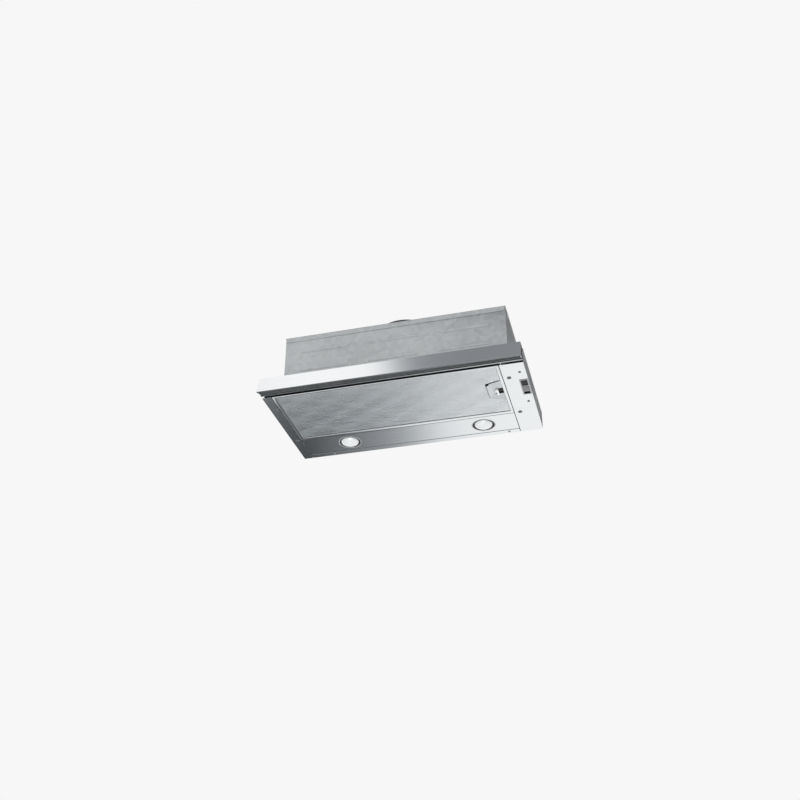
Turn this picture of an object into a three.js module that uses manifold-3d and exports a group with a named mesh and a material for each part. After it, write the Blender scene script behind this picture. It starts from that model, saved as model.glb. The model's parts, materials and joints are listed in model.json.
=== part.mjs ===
// Pull-out range hood for a 600 mm wall cabinet, shown shut.
// Millimetres, +Z up. The drawing frame has x = 0 on the centre line, y = 0 at the cabinet door
// fronts with +Y towards the wall, and z = 0 at the underside. The finished group is then moved so
// that the origin lies on the face that the cabinet seats on.
import * as THREE from 'three';
import { mergeVertices } from 'three/addons/utils/BufferGeometryUtils.js';
import Module from 'manifold-3d';

const wasm = await Module();
wasm.setup();

// ---- Driving dimensions ----
const moduleWidth = 600;
const sideGap = 1;
const caseDepth = 299;
const caseSetback = 12;
const caseHeight = 44;
const topSetback = 10;
const seatRise = 1;
const seatRailWidth = 18;
const seatRailGap = 6;
const sheet = 1;
const seat = 0.3;
const running = 0.5;

// Underside panels
const leftStripWidth = 21;
const controlStripWidth = 53;
const stripFlange = 8;
const rearTrimDepth = 16;
const lampPanelDepth = 74;
const seam = 0.8;

// Drop-down grease filter
const filterHeight = 9;
const filterFrontGap = 1;
const filterRearGap = 1.5;
const filterSideGap = 1.5;
const borderLeft = 9;
const borderRight = 6.5;
const borderFront = 5;
const borderRear = 9;
const skinThickness = 0.6;
const skinInset = 0.5;
const tabWidth = 30;
const tabInset = 40;

// Finger pocket and latch of the grease filter
const pocketFromFront = 99;
const pocketLengthFar = 62;
const pocketLengthNear = 82;
const pocketWidth = 34;
const pocketDepth = 4.5;
const pocketWall = 0.8;
const pocketSlit = 10.5;
const latchOffset = 11.5;
const latchWindow = 20;
const latchWidth = 21;
const latchTravel = 5;
const latchPlate = 1.2;
const latchRib = 3;
const latchNoseHeight = 2;
const latchNose = 8;

// Lamps
const lampEndInset = 134;
const lampHoleRadius = 28;
const lampCupHeight = 22;
const lampWall = 1.2;
const lampFlange = 4;
const lensRadius = 23;
const lensBulge = 7;
const lensEdge = 2;
const bulbRadius = 5;
const bulbLength = 10;
const bulbRound = 3;
const socketHeight = 5;

// Slide switch in the control strip
const switchInset = 10.5;
const switchFromFront = 100.5;
const switchSlotWidth = 16;
const switchWall = 1;
const bezelMargin = 2;
const bezelThickness = 0.8;
const switchBodyHeight = 11;
const lightKnobLength = 15;
const lightTravel = 6;
const speedKnobLength = 20;
const speedTravel = 11;
const dividerWidth = 3;
const knobStandOut = 1.5;
const knobGap = 0.5;
const gripGrooves = 3;
const gripGroove = 0.8;
const switchScrewSpacing = 126;

// Screws that hold the strips
const screwHeadRadius = 5;
const screwHeadHeight = 1.6;
const screwShankRadius = 2;
const screwLength = 7;
const smallScrewRadius = 3;
const screwCrown = 1.5;
const screwSlotWidth = 1.2;
const screwSlotMargin = 1.2;
const screwSlotDepth = 0.9;
const stripScrewFrontInset = 55;
const stripScrewRearInset = 93;
const controlScrewInset = 40;
const leftScrewInset = 12;
const switchScrewInset = 13.8;

// Fascia and pull-out drawer
const fasciaTopStand = 11.4;
const fasciaBottomStand = 25;
const fasciaTop = 38.6;
const fasciaDrop = 4.3;
const fasciaLip = 8;
const beamFront = -1;
const beamDepth = 8;
const beamBottom = 1.5;
const beamEnd = 2;
const capWidth = 2;
const drawerFloor = 14;
const drawerHeight = 20;
const drawerRearGap = 15.2;
const drawerLedge = 14;
const drawerFilterHeight = 7;
const drawerFilterBorder = 8;
const drawerLatchWidth = 16;
const drawerLatchLength = 30;
const drawerLatchTravel = 5;
const drawerLatchPlate = 2;
const drawerLatchRib = 3;

// Telescopic runners
const runnerHeight = 20;
const runnerReach = 7;
const runnerSetback = 3;
const runnerLift = 15;
const runnerStart = 26;
const runnerRearGap = 14;
const runnerMiddleLength = 210;

// Blower box
const boxSideGap = 8.5;
const boxRearGap = 28;
const boxFrontGap = 23;
const hoodHeight = 180;
const boxFlange = 10;
const airMargin = 26;

// Blower: scroll, wheel and motor
const wheelRadius = 48;
const wheelWidth = 104;
const bladeCount = 26;
const bladeDepth = 9;
const bladeThickness = 0.8;
const wheelRing = 2;
const hubRadius = 12;
const hubLength = 16;
const bladeTilt = 28;
const wheelSideGap = 6;
const shaftRadius = 4;
const scrollStart = 72;
const scrollEnd = 54;
const scrollSweep = 300;
const scrollWall = 1.6;
const scrollBottomGap = 3;
const scrollFrontGap = 18;
const inletRadius = 40;
const motorRadius = 38;
const motorLength = 46;
const motorGap = 14;
const motorShoulder = 6;
const motorBore = 20;
const bracketRing = 4;
const bracketBand = 10;
const bracketSetback = 8;
const bracketLegs = 3;
const legWidth = 12;
const legThickness = 3;
const footHeight = 12;
const footThickness = 2;

// Outlet collar and back-draught flaps
const collarRadius = 75;
const collarWall = 2.5;
const collarHeight = 45;
const collarFlangeWidth = 12;
const collarFlangeThickness = 3;
const ledgeWidth = 6;
const ledgeThickness = 3;
const ledgeLift = 4;
const flapThickness = 1.2;
const flapGap = 1.5;
const flapPinRadius = 1.5;

// Electrics and brackets
const terminalSize = { x: 36, y: 70, z: 50 };
const transformerSize = { x: 44, y: 62, z: 34 };
const transformerFrontGap = 40;
const transformerLift = 30;
const windingStandOut = 6;
const windingInset = 10;
const capacitorRadius = 14;
const capacitorLength = 50;
const capacitorFrontGap = 60;
const glandRadius = 9;
const glandBore = 4;
const glandHeight = 16;
const glandCollar = 3;
const glandNut = 5;
const glandTaper = 2;
const glandRearGap = 20;
const leadHoleDepth = 12;
const microSize = { x: 20, y: 16, z: 10 };
const microInset = 99;
const microPlunger = { width: 4, reach: 3, low: 2, high: 4 };
const bracketLength = 80;
const bracketHeight = 50;
const bracketFoot = 16;
const bracketThickness = 1.5;
const bracketLift = 20;
const bracketHoleRadius = 3;
const bracketHoleEdge = 6;
const bracketHoleSpacing = 40;

// Faceting of round pieces
const fine = 48;
const medium = 32;
const coarse = 20;
const domeSteps = 8;
const scrollSteps = 40;
const flapSteps = 24;

// How far a cutting solid runs past the faces that it cuts
const past = 1;

// ---- Places worked out from the dimensions ----
const halfWidth = moduleWidth / 2 - sideGap;
const frontY = caseSetback;
const rearY = caseSetback + caseDepth;
const leftInner = -halfWidth + leftStripWidth;
const rightInner = halfWidth - controlStripWidth;
const trimFront = rearY - rearTrimDepth;
const lampPanelRear = trimFront - seam;
const lampPanelFront = lampPanelRear - lampPanelDepth;
const plateTop = sheet + seat;
const topSheet = caseHeight - seatRise;
const topUnder = topSheet - sheet;

const filter = {
  x0: leftInner + filterSideGap,
  x1: rightInner - filterSideGap,
  y0: frontY + filterFrontGap,
  y1: lampPanelFront - filterRearGap,
};

const lampX = halfWidth - lampEndInset;
const lampY = (lampPanelFront + lampPanelRear) / 2;
const pocketY = filter.y0 + pocketFromFront;
const switchY = frontY + switchFromFront;
const stripScrewFrontY = frontY + stripScrewFrontInset;
const stripScrewRearY = rearY - stripScrewRearInset;
const drawerRear = lampPanelFront - drawerRearGap;
const beamRear = beamFront + beamDepth;
const beamTop = fasciaTop - sheet - seat;
const switchSlotLength = 2 * switchWall + dividerWidth + 4 * knobGap
  + lightKnobLength + lightTravel + speedKnobLength + speedTravel;

const boxFront = frontY + topSetback + boxFrontGap;
const boxRear = rearY - boxRearGap;
const boxHalf = halfWidth - seatRailWidth - boxSideGap - boxFlange;
const boxFoot = topSheet + seat;
const boxTop = hoodHeight;
const lidUnder = boxTop - sheet;

const originY = rearY - seatRailWidth / 2;
const originZ = caseHeight;

// ---- Solids ----
function solid(geometry) {
  const plain = geometry.index ? geometry.toNonIndexed() : geometry.clone();
  plain.deleteAttribute('normal');
  plain.deleteAttribute('uv');
  const merged = mergeVertices(plain, 1e-5);
  const vertProperties = new Float32Array(merged.attributes.position.array);
  const triVerts = new Uint32Array(withoutSlivers(merged.index.array));
  return new wasm.Manifold(new wasm.Mesh({ numProp: 3, vertProperties, triVerts }));
}

// Leaves out the triangles that a lathe makes with two corners on its axis.
function withoutSlivers(index) {
  const kept = [];
  for (let i = 0; i < index.length; i += 3) {
    const [a, b, c] = [index[i], index[i + 1], index[i + 2]];
    if (a !== b && b !== c && c !== a) kept.push(a, b, c);
  }
  return kept;
}

function box(x0, x1, y0, y1, z0, z1) {
  const geometry = new THREE.BoxGeometry(x1 - x0, y1 - y0, z1 - z0);
  geometry.translate((x0 + x1) / 2, (y0 + y1) / 2, (z0 + z1) / 2);
  return solid(geometry);
}

// A prism of an outline given as [across, up] pairs, run along the named axis from a to b.
function prism(axis, outline, a, b) {
  const shape = new THREE.Shape(outline.map(([u, v]) => new THREE.Vector2(u, v)));
  const geometry = new THREE.ExtrudeGeometry(shape, { depth: b - a, bevelEnabled: false });
  geometry.translate(0, 0, a);
  if (axis === 'x') {
    geometry.applyMatrix4(new THREE.Matrix4().set(0, 0, 1, 0, 1, 0, 0, 0, 0, 1, 0, 0, 0, 0, 0, 1));
  }
  if (axis === 'y') {
    geometry.applyMatrix4(new THREE.Matrix4().set(1, 0, 0, 0, 0, 0, -1, 0, 0, 1, 0, 0, 0, 0, 0, 1));
    geometry.translate(0, a + b, 0);
  }
  return solid(geometry);
}

// A turned solid of [radius, height] pairs about the named axis through (x, y, z).
function turned(axis, profile, x, y, z, segments) {
  const points = profile.map(([r, h]) => new THREE.Vector2(r, h));
  const geometry = new THREE.LatheGeometry(points, segments);
  if (axis === 'z') geometry.rotateX(Math.PI / 2);
  if (axis === 'x') geometry.rotateZ(-Math.PI / 2);
  geometry.translate(x, y, z);
  const made = solid(geometry);
  if (made.volume() > 0) return made;
  return solid(flipped(geometry));
}

function flipped(geometry) {
  const plain = geometry.toNonIndexed();
  const at = plain.attributes.position;
  for (let i = 0; i < at.count; i += 3) {
    const [bx, by, bz] = [at.getX(i + 1), at.getY(i + 1), at.getZ(i + 1)];
    at.setXYZ(i + 1, at.getX(i + 2), at.getY(i + 2), at.getZ(i + 2));
    at.setXYZ(i + 2, bx, by, bz);
  }
  return plain;
}

function rod(axis, radius, from, to, x, y, z, segments) {
  return turned(axis, [[0, from], [radius, from], [radius, to], [0, to]], x, y, z, segments);
}

function ring(axis, inner, outer, from, to, x, y, z, segments) {
  const section = [[inner, from], [outer, from], [outer, to], [inner, to], [inner, from]];
  return turned(axis, section, x, y, z, segments);
}

function join(first, ...rest) {
  return rest.reduce((sum, piece) => sum.add(piece), first);
}

function cut(first, ...rest) {
  return rest.reduce((left, piece) => left.subtract(piece), first);
}

// ---- Materials ----
function metal(color, roughness) {
  return new THREE.MeshStandardMaterial({ color, roughness, metalness: 1 });
}

function plastic(color, roughness) {
  return new THREE.MeshStandardMaterial({ color, roughness, metalness: 0 });
}

const finish = {
  steel: metal(0xc9cdd0, 0.32),
  zinc: metal(0xa9adb0, 0.5),
  mesh: metal(0xb4b8bb, 0.45),
  bright: metal(0xdfe3e6, 0.18),
  black: plastic(0x1d1e20, 0.5),
  grey: plastic(0x8f9396, 0.45),
  white: plastic(0xe6e6e2, 0.5),
  glass: new THREE.MeshStandardMaterial({ color: 0xf6f8fa, roughness: 0.25, metalness: 0 }),
  paint: plastic(0x3a3d40, 0.6),
};

const hood = new THREE.Group();
const drawing = new THREE.Group();
drawing.position.set(0, -originY, -originZ);
hood.add(drawing);

function add(name, manifold, material) {
  const made = manifold.getMesh();
  const geometry = new THREE.BufferGeometry();
  geometry.setAttribute('position', new THREE.BufferAttribute(made.vertProperties, 3));
  geometry.setIndex(new THREE.BufferAttribute(made.triVerts, 1));
  geometry.computeVertexNormals();
  const mesh = new THREE.Mesh(geometry, material);
  mesh.name = name;
  drawing.add(mesh);
}

// ---- Lower case: folded steel sheets that the drawer runs in ----
// Raised rails along its top sheet's sides and rear carry the cabinet.
function buildCase() {
  const caseFront = frontY + topSetback;
  const air = box(
    -boxHalf + airMargin, boxHalf - airMargin,
    boxFront + airMargin, boxRear - airMargin,
    topUnder - past, topSheet + past,
  );
  const top = box(-halfWidth, halfWidth, caseFront, rearY, topUnder, topSheet);
  const railFront = rearY - seatRailWidth;
  const railSides = [[-halfWidth, -halfWidth + seatRailWidth], [halfWidth - seatRailWidth, halfWidth]];
  const sideRails = railSides.map(([x0, x1]) => box(
    x0, x1, caseFront, railFront - seatRailGap, topUnder, caseHeight,
  ));
  const rearRail = box(-halfWidth, halfWidth, railFront, rearY, topUnder, caseHeight);
  add('case_top', cut(join(top, ...sideRails, rearRail), air), finish.zinc);

  const wallTop = topUnder - seat;
  for (const [name, side] of [['case_side_left', -1], ['case_side_right', 1]]) {
    const outer = side * halfWidth;
    const inner = side * (halfWidth - sheet);
    const wall = box(Math.min(outer, inner), Math.max(outer, inner), caseFront, rearY, plateTop, wallTop);
    add(name, wall, finish.zinc);
  }
  const rearHalf = halfWidth - sheet - seat;
  add('case_rear', box(-rearHalf, rearHalf, rearY - sheet, rearY, plateTop, wallTop), finish.zinc);
}

// A strip is a flat sheet with a turned-up inner edge.
function stripSheet(x0, x1, flangeX0, flangeX1) {
  const plate = box(x0, x1, frontY, rearY, 0, sheet);
  const flange = box(flangeX0, flangeX1, frontY, lampPanelRear, sheet / 2, stripFlange);
  return join(plate, flange);
}

function screwHole(x, y) {
  return rod('z', screwShankRadius + seat, -sheet, 2 * sheet, x, y, 0, coarse);
}

function buildStrips() {
  const leftX = -halfWidth + leftScrewInset;
  const left = stripSheet(-halfWidth, leftInner, leftInner - sheet, leftInner);
  const leftHoles = [stripScrewFrontY, stripScrewRearY].map((y) => screwHole(leftX, y));
  add('left_strip', cut(left, ...leftHoles), finish.steel);

  const rightX = halfWidth - controlScrewInset;
  const right = stripSheet(rightInner, halfWidth, rightInner, rightInner + sheet);
  const switchX = halfWidth - switchInset;
  const slot = box(
    switchX - switchSlotWidth / 2 - seat, switchX + switchSlotWidth / 2 + seat,
    switchY - switchSlotLength / 2 - seat, switchY + switchSlotLength / 2 + seat,
    -sheet, 2 * sheet,
  );
  const rightHoles = [stripScrewFrontY, stripScrewRearY].map((y) => screwHole(rightX, y));
  const spread = switchScrewSpacing / 2;
  const screwX = halfWidth - switchScrewInset;
  const moduleHoles = [switchY - spread, switchY + spread].map((y) => screwHole(screwX, y));
  add('control_strip', cut(right, slot, ...rightHoles, ...moduleHoles), finish.steel);

  const trim = box(leftInner + seam, rightInner - seam, trimFront, rearY, 0, sheet);
  add('rear_trim', trim, finish.steel);

  buildScrew('strip_screw_left_front', leftX, stripScrewFrontY, 0, screwHeadRadius);
  buildScrew('strip_screw_left_rear', leftX, stripScrewRearY, 0, screwHeadRadius);
  buildScrew('strip_screw_right_front', rightX, stripScrewFrontY, 0, screwHeadRadius);
  buildScrew('strip_screw_right_rear', rightX, stripScrewRearY, 0, screwHeadRadius);
}

// Pan-head screw with a cross recess, head down, seated under the surface at height z.
function buildScrew(name, x, y, z, headRadius) {
  const seated = -seat;
  const crown = seated - screwHeadHeight;
  const rim = seated - screwHeadHeight / 2;
  const head = turned('z', [
    [0, seated],
    [headRadius, seated],
    [headRadius, rim],
    [headRadius - screwCrown, crown],
    [0, crown],
  ], x, y, z, coarse);
  const shank = rod('z', screwShankRadius, rim, screwLength, x, y, z, coarse);
  const arm = headRadius - screwSlotMargin;
  const half = screwSlotWidth / 2;
  const low = z + crown - past;
  const high = z + crown + screwSlotDepth;
  const along = box(x - arm, x + arm, y - half, y + half, low, high);
  const across = box(x - half, x + half, y - arm, y + arm, low, high);
  add(name, cut(join(head, shank), along, across), finish.bright);
}

// ---- Lamp panel with two recessed halogen lamps ----
function buildLamps() {
  const lamps = [['left', -lampX], ['right', lampX]];
  const panel = box(
    leftInner + seam, rightInner - seam, lampPanelFront, lampPanelRear, 0, sheet,
  );
  const lip = box(
    leftInner + seam, rightInner - seam, lampPanelFront, lampPanelFront + sheet, sheet / 2, stripFlange,
  );
  const holes = lamps.map(([, x]) => rod('z', lampHoleRadius, -sheet, 2 * sheet, x, lampY, 0, fine));
  add('lamp_panel', cut(join(panel, lip), ...holes), finish.steel);

  const cupOuter = lampHoleRadius - seat;
  const cupInner = cupOuter - lampWall;
  const flangeZ = sheet + seat;
  const ceiling = lampCupHeight - socketHeight;
  for (const [side, x] of lamps) {
    const shell = turned('z', [
      [cupInner, 0],
      [cupOuter, 0],
      [cupOuter, flangeZ],
      [cupOuter + lampFlange, flangeZ],
      [cupOuter + lampFlange, flangeZ + lampWall],
      [cupOuter, flangeZ + lampWall],
      [cupOuter - lampFlange, lampCupHeight],
      [0, lampCupHeight],
      [0, ceiling],
      [cupInner - lampFlange, ceiling],
      [cupInner, flangeZ + lampWall],
      [cupInner, 0],
    ], x, lampY, 0, fine);
    const ledge = ring('z', lensRadius - lensEdge, cupInner + lampWall / 2, lensEdge + seat,
      lensEdge + seat + lampWall, x, lampY, 0, fine);
    add(`lamp_housing_${side}`, join(shell, ledge), finish.grey);

    const lens = turned('z', lensProfile(), x, lampY, 0, fine);
    add(`lamp_lens_${side}`, lens, finish.glass);

    const bulbTop = ceiling - seat;
    const bulbLow = bulbTop - bulbLength;
    const bulb = turned('z', [
      [0, bulbLow],
      [bulbRadius - bulbRound, bulbLow],
      [bulbRadius, bulbLow + bulbRound],
      [bulbRadius, bulbTop],
      [0, bulbTop],
    ], x, lampY, 0, coarse);
    add(`lamp_bulb_${side}`, bulb, finish.glass);
  }
}

// Bowed glass: flat on top, with a rim and a shallow dome below.
function lensProfile() {
  const dome = [];
  for (let i = 0; i <= domeSteps; i += 1) {
    const angle = (i / domeSteps) * (Math.PI / 2);
    dome.push([lensRadius * Math.sin(angle), -lensBulge * Math.cos(angle)]);
  }
  return [...dome, [lensRadius, lensEdge], [0, lensEdge]];
}

// ---- Slide switch ----
function buildSwitch() {
  const x = halfWidth - switchInset;
  const y0 = switchY - switchSlotLength / 2;
  const y1 = switchY + switchSlotLength / 2;
  const half = switchSlotWidth / 2;
  const bezelTop = -seat;
  const bezel = box(
    x - half - bezelMargin, x + half + bezelMargin, y0 - bezelMargin, y1 + bezelMargin,
    bezelTop - bezelThickness, bezelTop,
  );
  const body = box(x - half, x + half, y0, y1, bezelTop - bezelThickness / 2, switchBodyHeight);
  const wall = switchWall;
  const floorZ = switchBodyHeight - 2 * wall;
  const lightEnd = y0 + wall + lightKnobLength + lightTravel + 2 * knobGap;
  const lightWell = box(x - half + wall, x + half - wall, y0 + wall, lightEnd, -2 * wall, floorZ);
  const speedStart = lightEnd + dividerWidth;
  const speedWell = box(x - half + wall, x + half - wall, speedStart, y1 - wall, -2 * wall, floorZ);
  add('switch_body', cut(join(bezel, body), lightWell, speedWell), finish.black);

  const knobHalf = half - wall - knobGap;
  const knobLow = bezelTop - bezelThickness - knobStandOut;
  const knobTop = floorZ - seat;
  const lightY0 = y0 + wall + knobGap;
  add('light_slider', knob(x, knobHalf, lightY0, lightY0 + lightKnobLength, knobLow, knobTop), finish.black);
  const speedY0 = speedStart + knobGap;
  add('speed_slider', knob(x, knobHalf, speedY0, speedY0 + speedKnobLength, knobLow, knobTop), finish.grey);

  const spread = switchScrewSpacing / 2;
  const screwX = halfWidth - switchScrewInset;
  buildScrew('switch_screw_front', screwX, switchY - spread, 0, smallScrewRadius);
  buildScrew('switch_screw_rear', screwX, switchY + spread, 0, smallScrewRadius);
}

// Slider cap with grip grooves across its face.
function knob(x, half, y0, y1, z0, z1) {
  const block = box(x - half, x + half, y0, y1, z0, z1);
  const pitch = (y1 - y0) / (gripGrooves + 1);
  const grooves = Array.from({ length: gripGrooves }, (_, i) => {
    const y = y0 + (i + 1) * pitch;
    return box(
      x - half - past, x + half + past, y - gripGroove / 2, y + gripGroove / 2, z0 - past, z0 + gripGroove,
    );
  });
  return cut(block, ...grooves);
}

// ---- Drop-down grease filter with its finger pocket and sprung latch ----
function buildFilter() {
  const { x0, x1, y0, y1 } = filter;
  const inner = {
    x0: x0 + borderLeft,
    x1: x1 - borderRight,
    y0: y0 + borderFront,
    y1: y1 - borderRear,
  };
  const outerRing = box(x0, x1, y0, y1, 0, filterHeight);
  const window = box(inner.x0, inner.x1, inner.y0, inner.y1, -past, filterHeight + past);
  const tabs = [y0 + tabInset, y1 - tabInset - tabWidth].map((y) => box(
    leftInner - sheet, x0 + borderLeft / 2, y, y + tabWidth,
    stripFlange + seat, stripFlange + seat + sheet,
  ));
  add('filter_frame', join(cut(outerRing, window, latchWay()), ...tabs), finish.steel);

  const opening = prism('z', pocketOutline(seat), -past, filterHeight + past);
  const skinLow = skinInset;
  const skinTop = skinLow + skinThickness;
  const skin = box(
    inner.x0 + seat, inner.x1 - seat, inner.y0 + seat, inner.y1 - seat, skinLow, skinTop,
  );
  add('filter_skin', cut(skin, opening), finish.mesh);
  const pack = box(
    inner.x0 + seat, inner.x1 - seat, inner.y0 + seat, inner.y1 - seat, skinTop + seat, filterHeight - seat,
  );
  add('filter_mesh', cut(pack, opening), finish.mesh);

  add('latch_pocket', fingerPocket(skinLow), finish.steel);
  add('filter_latch', latch(), finish.bright);
}

// The pocket is a trapezium that widens towards the control strip, grown by a margin on each side.
function pocketOutline(margin) {
  const right = filter.x1 - borderRight - seat;
  const left = right - pocketWidth;
  return [
    [left - margin, pocketY - pocketLengthFar / 2 - margin],
    [right + margin, pocketY - pocketLengthNear / 2 - margin],
    [right + margin, pocketY + pocketLengthNear / 2 + margin],
    [left - margin, pocketY + pocketLengthFar / 2 + margin],
  ];
}

// A walled tray with a shallow floor, sheared open along its front and at the latch's window.
function fingerPocket(low) {
  const place = latchPlace();
  const floor = low + pocketDepth;
  const inside = pocketOutline(-pocketWall);
  const cup = prism('z', pocketOutline(0), low, filterHeight - seat);
  const below = prism('z', inside, low - past, floor);
  const above = prism('z', inside, floor + pocketWall, filterHeight);
  const [frontLeft, frontRight] = inside;
  const slit = prism('z', [
    frontLeft,
    frontRight,
    [frontRight[0], frontRight[1] + pocketSlit],
    [frontLeft[0], frontLeft[1] + pocketSlit],
  ], low, filterHeight);
  const window = box(
    place.window0, place.window1, place.y0 - running, place.y1 + running, low, filterHeight,
  );
  return cut(cup, below, above, slit, window, latchWay());
}

// The latch slides on the pocket's floor, its rib hangs through the window and its nose passes
// through the filter's border.
function latchPlace() {
  const pocketRight = filter.x1 - borderRight - seat;
  const window1 = pocketRight - pocketWall - running;
  const window0 = window1 - latchWindow;
  const middle = pocketY + latchOffset;
  const z0 = skinInset + pocketDepth + pocketWall + seat;
  return {
    window0,
    window1,
    tip: rightInner - seat,
    rib0: window0 + latchTravel + seat,
    y0: middle - latchWidth / 2,
    y1: middle + latchWidth / 2,
    noseY0: middle - latchNose / 2,
    noseY1: middle + latchNose / 2,
    z0,
    z1: z0 + latchNoseHeight,
  };
}

function latchWay() {
  const place = latchPlace();
  return box(
    place.window1, rightInner, place.noseY0 - running, place.noseY1 + running,
    place.z0 - seat, place.z1 + seat,
  );
}

function latch() {
  const place = latchPlace();
  const back = place.rib0 - latchTravel - latchPlate;
  const plate = box(back, place.rib0 + latchRib, place.y0, place.y1, place.z0, place.z0 + latchPlate);
  const rib = box(
    place.rib0, place.rib0 + latchRib, place.y0, place.y1, skinInset, place.z0 + latchPlate,
  );
  const nose = box(place.rib0, place.tip, place.noseY0, place.noseY1, place.z0, place.z1);
  return join(plate, rib, nose);
}

// ---- Fascia and its end cheeks ----
function fasciaOutline() {
  const slope = (fasciaBottomStand - fasciaTopStand) / (fasciaTop + fasciaDrop);
  const lipEnd = -fasciaBottomStand + fasciaLip;
  const innerTop = fasciaTop - sheet;
  const innerLow = -fasciaDrop + sheet;
  const faceAt = (z) => -fasciaBottomStand + slope * (z + fasciaDrop);
  const skinY = sheet * Math.hypot(1, slope);
  return {
    faceAt,
    skinY,
    innerTop,
    innerLow,
    lipEnd,
    points: [
      [beamRear, fasciaTop],
      [faceAt(fasciaTop), fasciaTop],
      [faceAt(-fasciaDrop), -fasciaDrop],
      [lipEnd, -fasciaDrop],
      [lipEnd, innerLow],
      [faceAt(innerLow) + skinY, innerLow],
      [faceAt(innerTop) + skinY, innerTop],
      [beamRear, innerTop],
    ],
  };
}

function buildFascia() {
  const profile = fasciaOutline();
  add('fascia', prism('x', profile.points, -halfWidth, halfWidth), finish.steel);

  const gap = profile.skinY + seat;
  const capTop = profile.innerTop - seat;
  const capLow = profile.innerLow + seat;
  const capOutline = [
    [beamFront - seat, capTop],
    [profile.faceAt(capTop) + gap, capTop],
    [profile.faceAt(capLow) + gap, capLow],
    [profile.lipEnd, capLow],
    [beamFront - seat, beamBottom],
  ];
  add('fascia_cap_left', prism('x', capOutline, -halfWidth, -halfWidth + capWidth), finish.steel);
  add('fascia_cap_right', prism('x', capOutline, halfWidth - capWidth, halfWidth), finish.steel);
}

// ---- Drawer: front beam, two sides, rear rail and the ledges that hold its filter ----
const railX = halfWidth - sheet - seat - (sheet + running) - runnerReach - runnerSetback;

function buildDrawer() {
  const rear = beamRear;
  const beam = cut(
    box(-halfWidth, halfWidth, beamFront, rear, beamBottom, beamTop),
    box(
      -halfWidth + beamEnd, halfWidth - beamEnd, beamFront + sheet, rear - sheet,
      beamBottom + sheet, beamTop + past,
    ),
  );
  const sideTop = drawerFloor + drawerHeight;
  const side = (sign) => {
    const a = sign * railX;
    const b = sign * (railX - sheet);
    return box(Math.min(a, b), Math.max(a, b), rear - sheet / 2, drawerRear, drawerFloor, sideTop);
  };
  const rearRail = box(-railX, railX, drawerRear - sheet, drawerRear, drawerFloor, sideTop);
  const floor = box(-railX, railX, rear - sheet / 2, drawerRear, drawerFloor, drawerFloor + sheet);
  const window = box(
    -railX + drawerLedge, railX - drawerLedge, rear + drawerLedge, drawerRear - drawerLedge,
    drawerFloor - past, drawerFloor + 2 * sheet,
  );
  const frame = join(beam, side(-1), side(1), rearRail, cut(floor, window));
  add('drawer_frame', frame, finish.zinc);

  const f = {
    x: railX - sheet - 2 * running,
    y0: rear + 2 * running,
    y1: drawerRear - sheet - 2 * running,
    z0: drawerFloor + sheet + seat,
  };
  const z1 = f.z0 + drawerFilterHeight;
  const latchX0 = -drawerLatchLength / 2;
  const well = box(
    latchX0 - drawerLatchTravel - running, -latchX0 + drawerLatchTravel + running,
    f.y0 - past, f.y0 + drawerLatchWidth + 2 * running, f.z0 - past, z1 + past,
  );
  const b = drawerFilterBorder;
  const wide = drawerLatchWidth + 2 * b;
  const ringOuter = box(-f.x, f.x, f.y0, f.y1, f.z0, z1);
  const ringInner = box(-f.x + b, f.x - b, f.y0 + wide, f.y1 - b, f.z0 - past, z1 + past);
  add('drawer_filter_frame', cut(ringOuter, ringInner, well), finish.steel);
  const mesh = box(
    -f.x + b + seat, f.x - b - seat, f.y0 + wide + seat, f.y1 - b - seat, f.z0 + seat, z1 - seat,
  );
  add('drawer_filter_mesh', mesh, finish.mesh);

  const latchY0 = f.y0 + running;
  const latchY1 = latchY0 + drawerLatchWidth;
  const ribHalf = drawerLatchRib / 2;
  const plate = box(latchX0, -latchX0, latchY0, latchY1, f.z0, f.z0 + drawerLatchPlate);
  const rib = box(-ribHalf, ribHalf, latchY0, latchY1, f.z0, z1 - seat);
  add('drawer_filter_latch', join(plate, rib), finish.black);
}

// ---- Telescopic runners: fixed channel, middle channel and drawer rail on each side ----
function buildRunners() {
  for (const [side, sign] of [['left', -1], ['right', 1]]) {
    const wall = halfWidth - sheet - seat;
    const place = (a, b) => [Math.min(sign * a, sign * b), Math.max(sign * a, sign * b)];
    const channel = (back, reach, z0, z1, y0, y1) => {
      const [x0, x1] = place(back, back - reach);
      const [h0, h1] = place(back - sheet, back - reach - past);
      return cut(box(x0, x1, y0, y1, z0, z1), box(h0, h1, y0 - past, y1 + past, z0 + sheet, z1 - sheet));
    };
    const z0 = runnerLift;
    const z1 = runnerLift + runnerHeight;
    const start = runnerStart;
    const outer = channel(wall, runnerReach, z0, z1, start, rearY - runnerRearGap);
    add(`runner_outer_${side}`, outer, finish.zinc);

    const step = sheet + running;
    const middle = channel(wall - step, runnerReach, z0 + step, z1 - step, start, start + runnerMiddleLength);
    add(`runner_middle_${side}`, middle, finish.zinc);

    const [i0, i1] = place(wall - 2 * step, railX + seat);
    const inner = box(i0, i1, start, drawerRear, z0 + 2 * step, z1 - 2 * step);
    add(`runner_inner_${side}`, inner, finish.zinc);
  }
}

// ---- Blower box ----
const wallX = boxHalf - sheet - seat;
const scrollHalf = wheelWidth / 2 + wheelSideGap;
const scrollY = boxFront + sheet + scrollFrontGap + scrollRadius(180);
const scrollZ = boxFoot + scrollBottomGap + scrollRadius(90);
const glandX = wallX - terminalSize.x / 2;
const glandY = boxRear - sheet - glandRearGap - terminalSize.y / 2;

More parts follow.
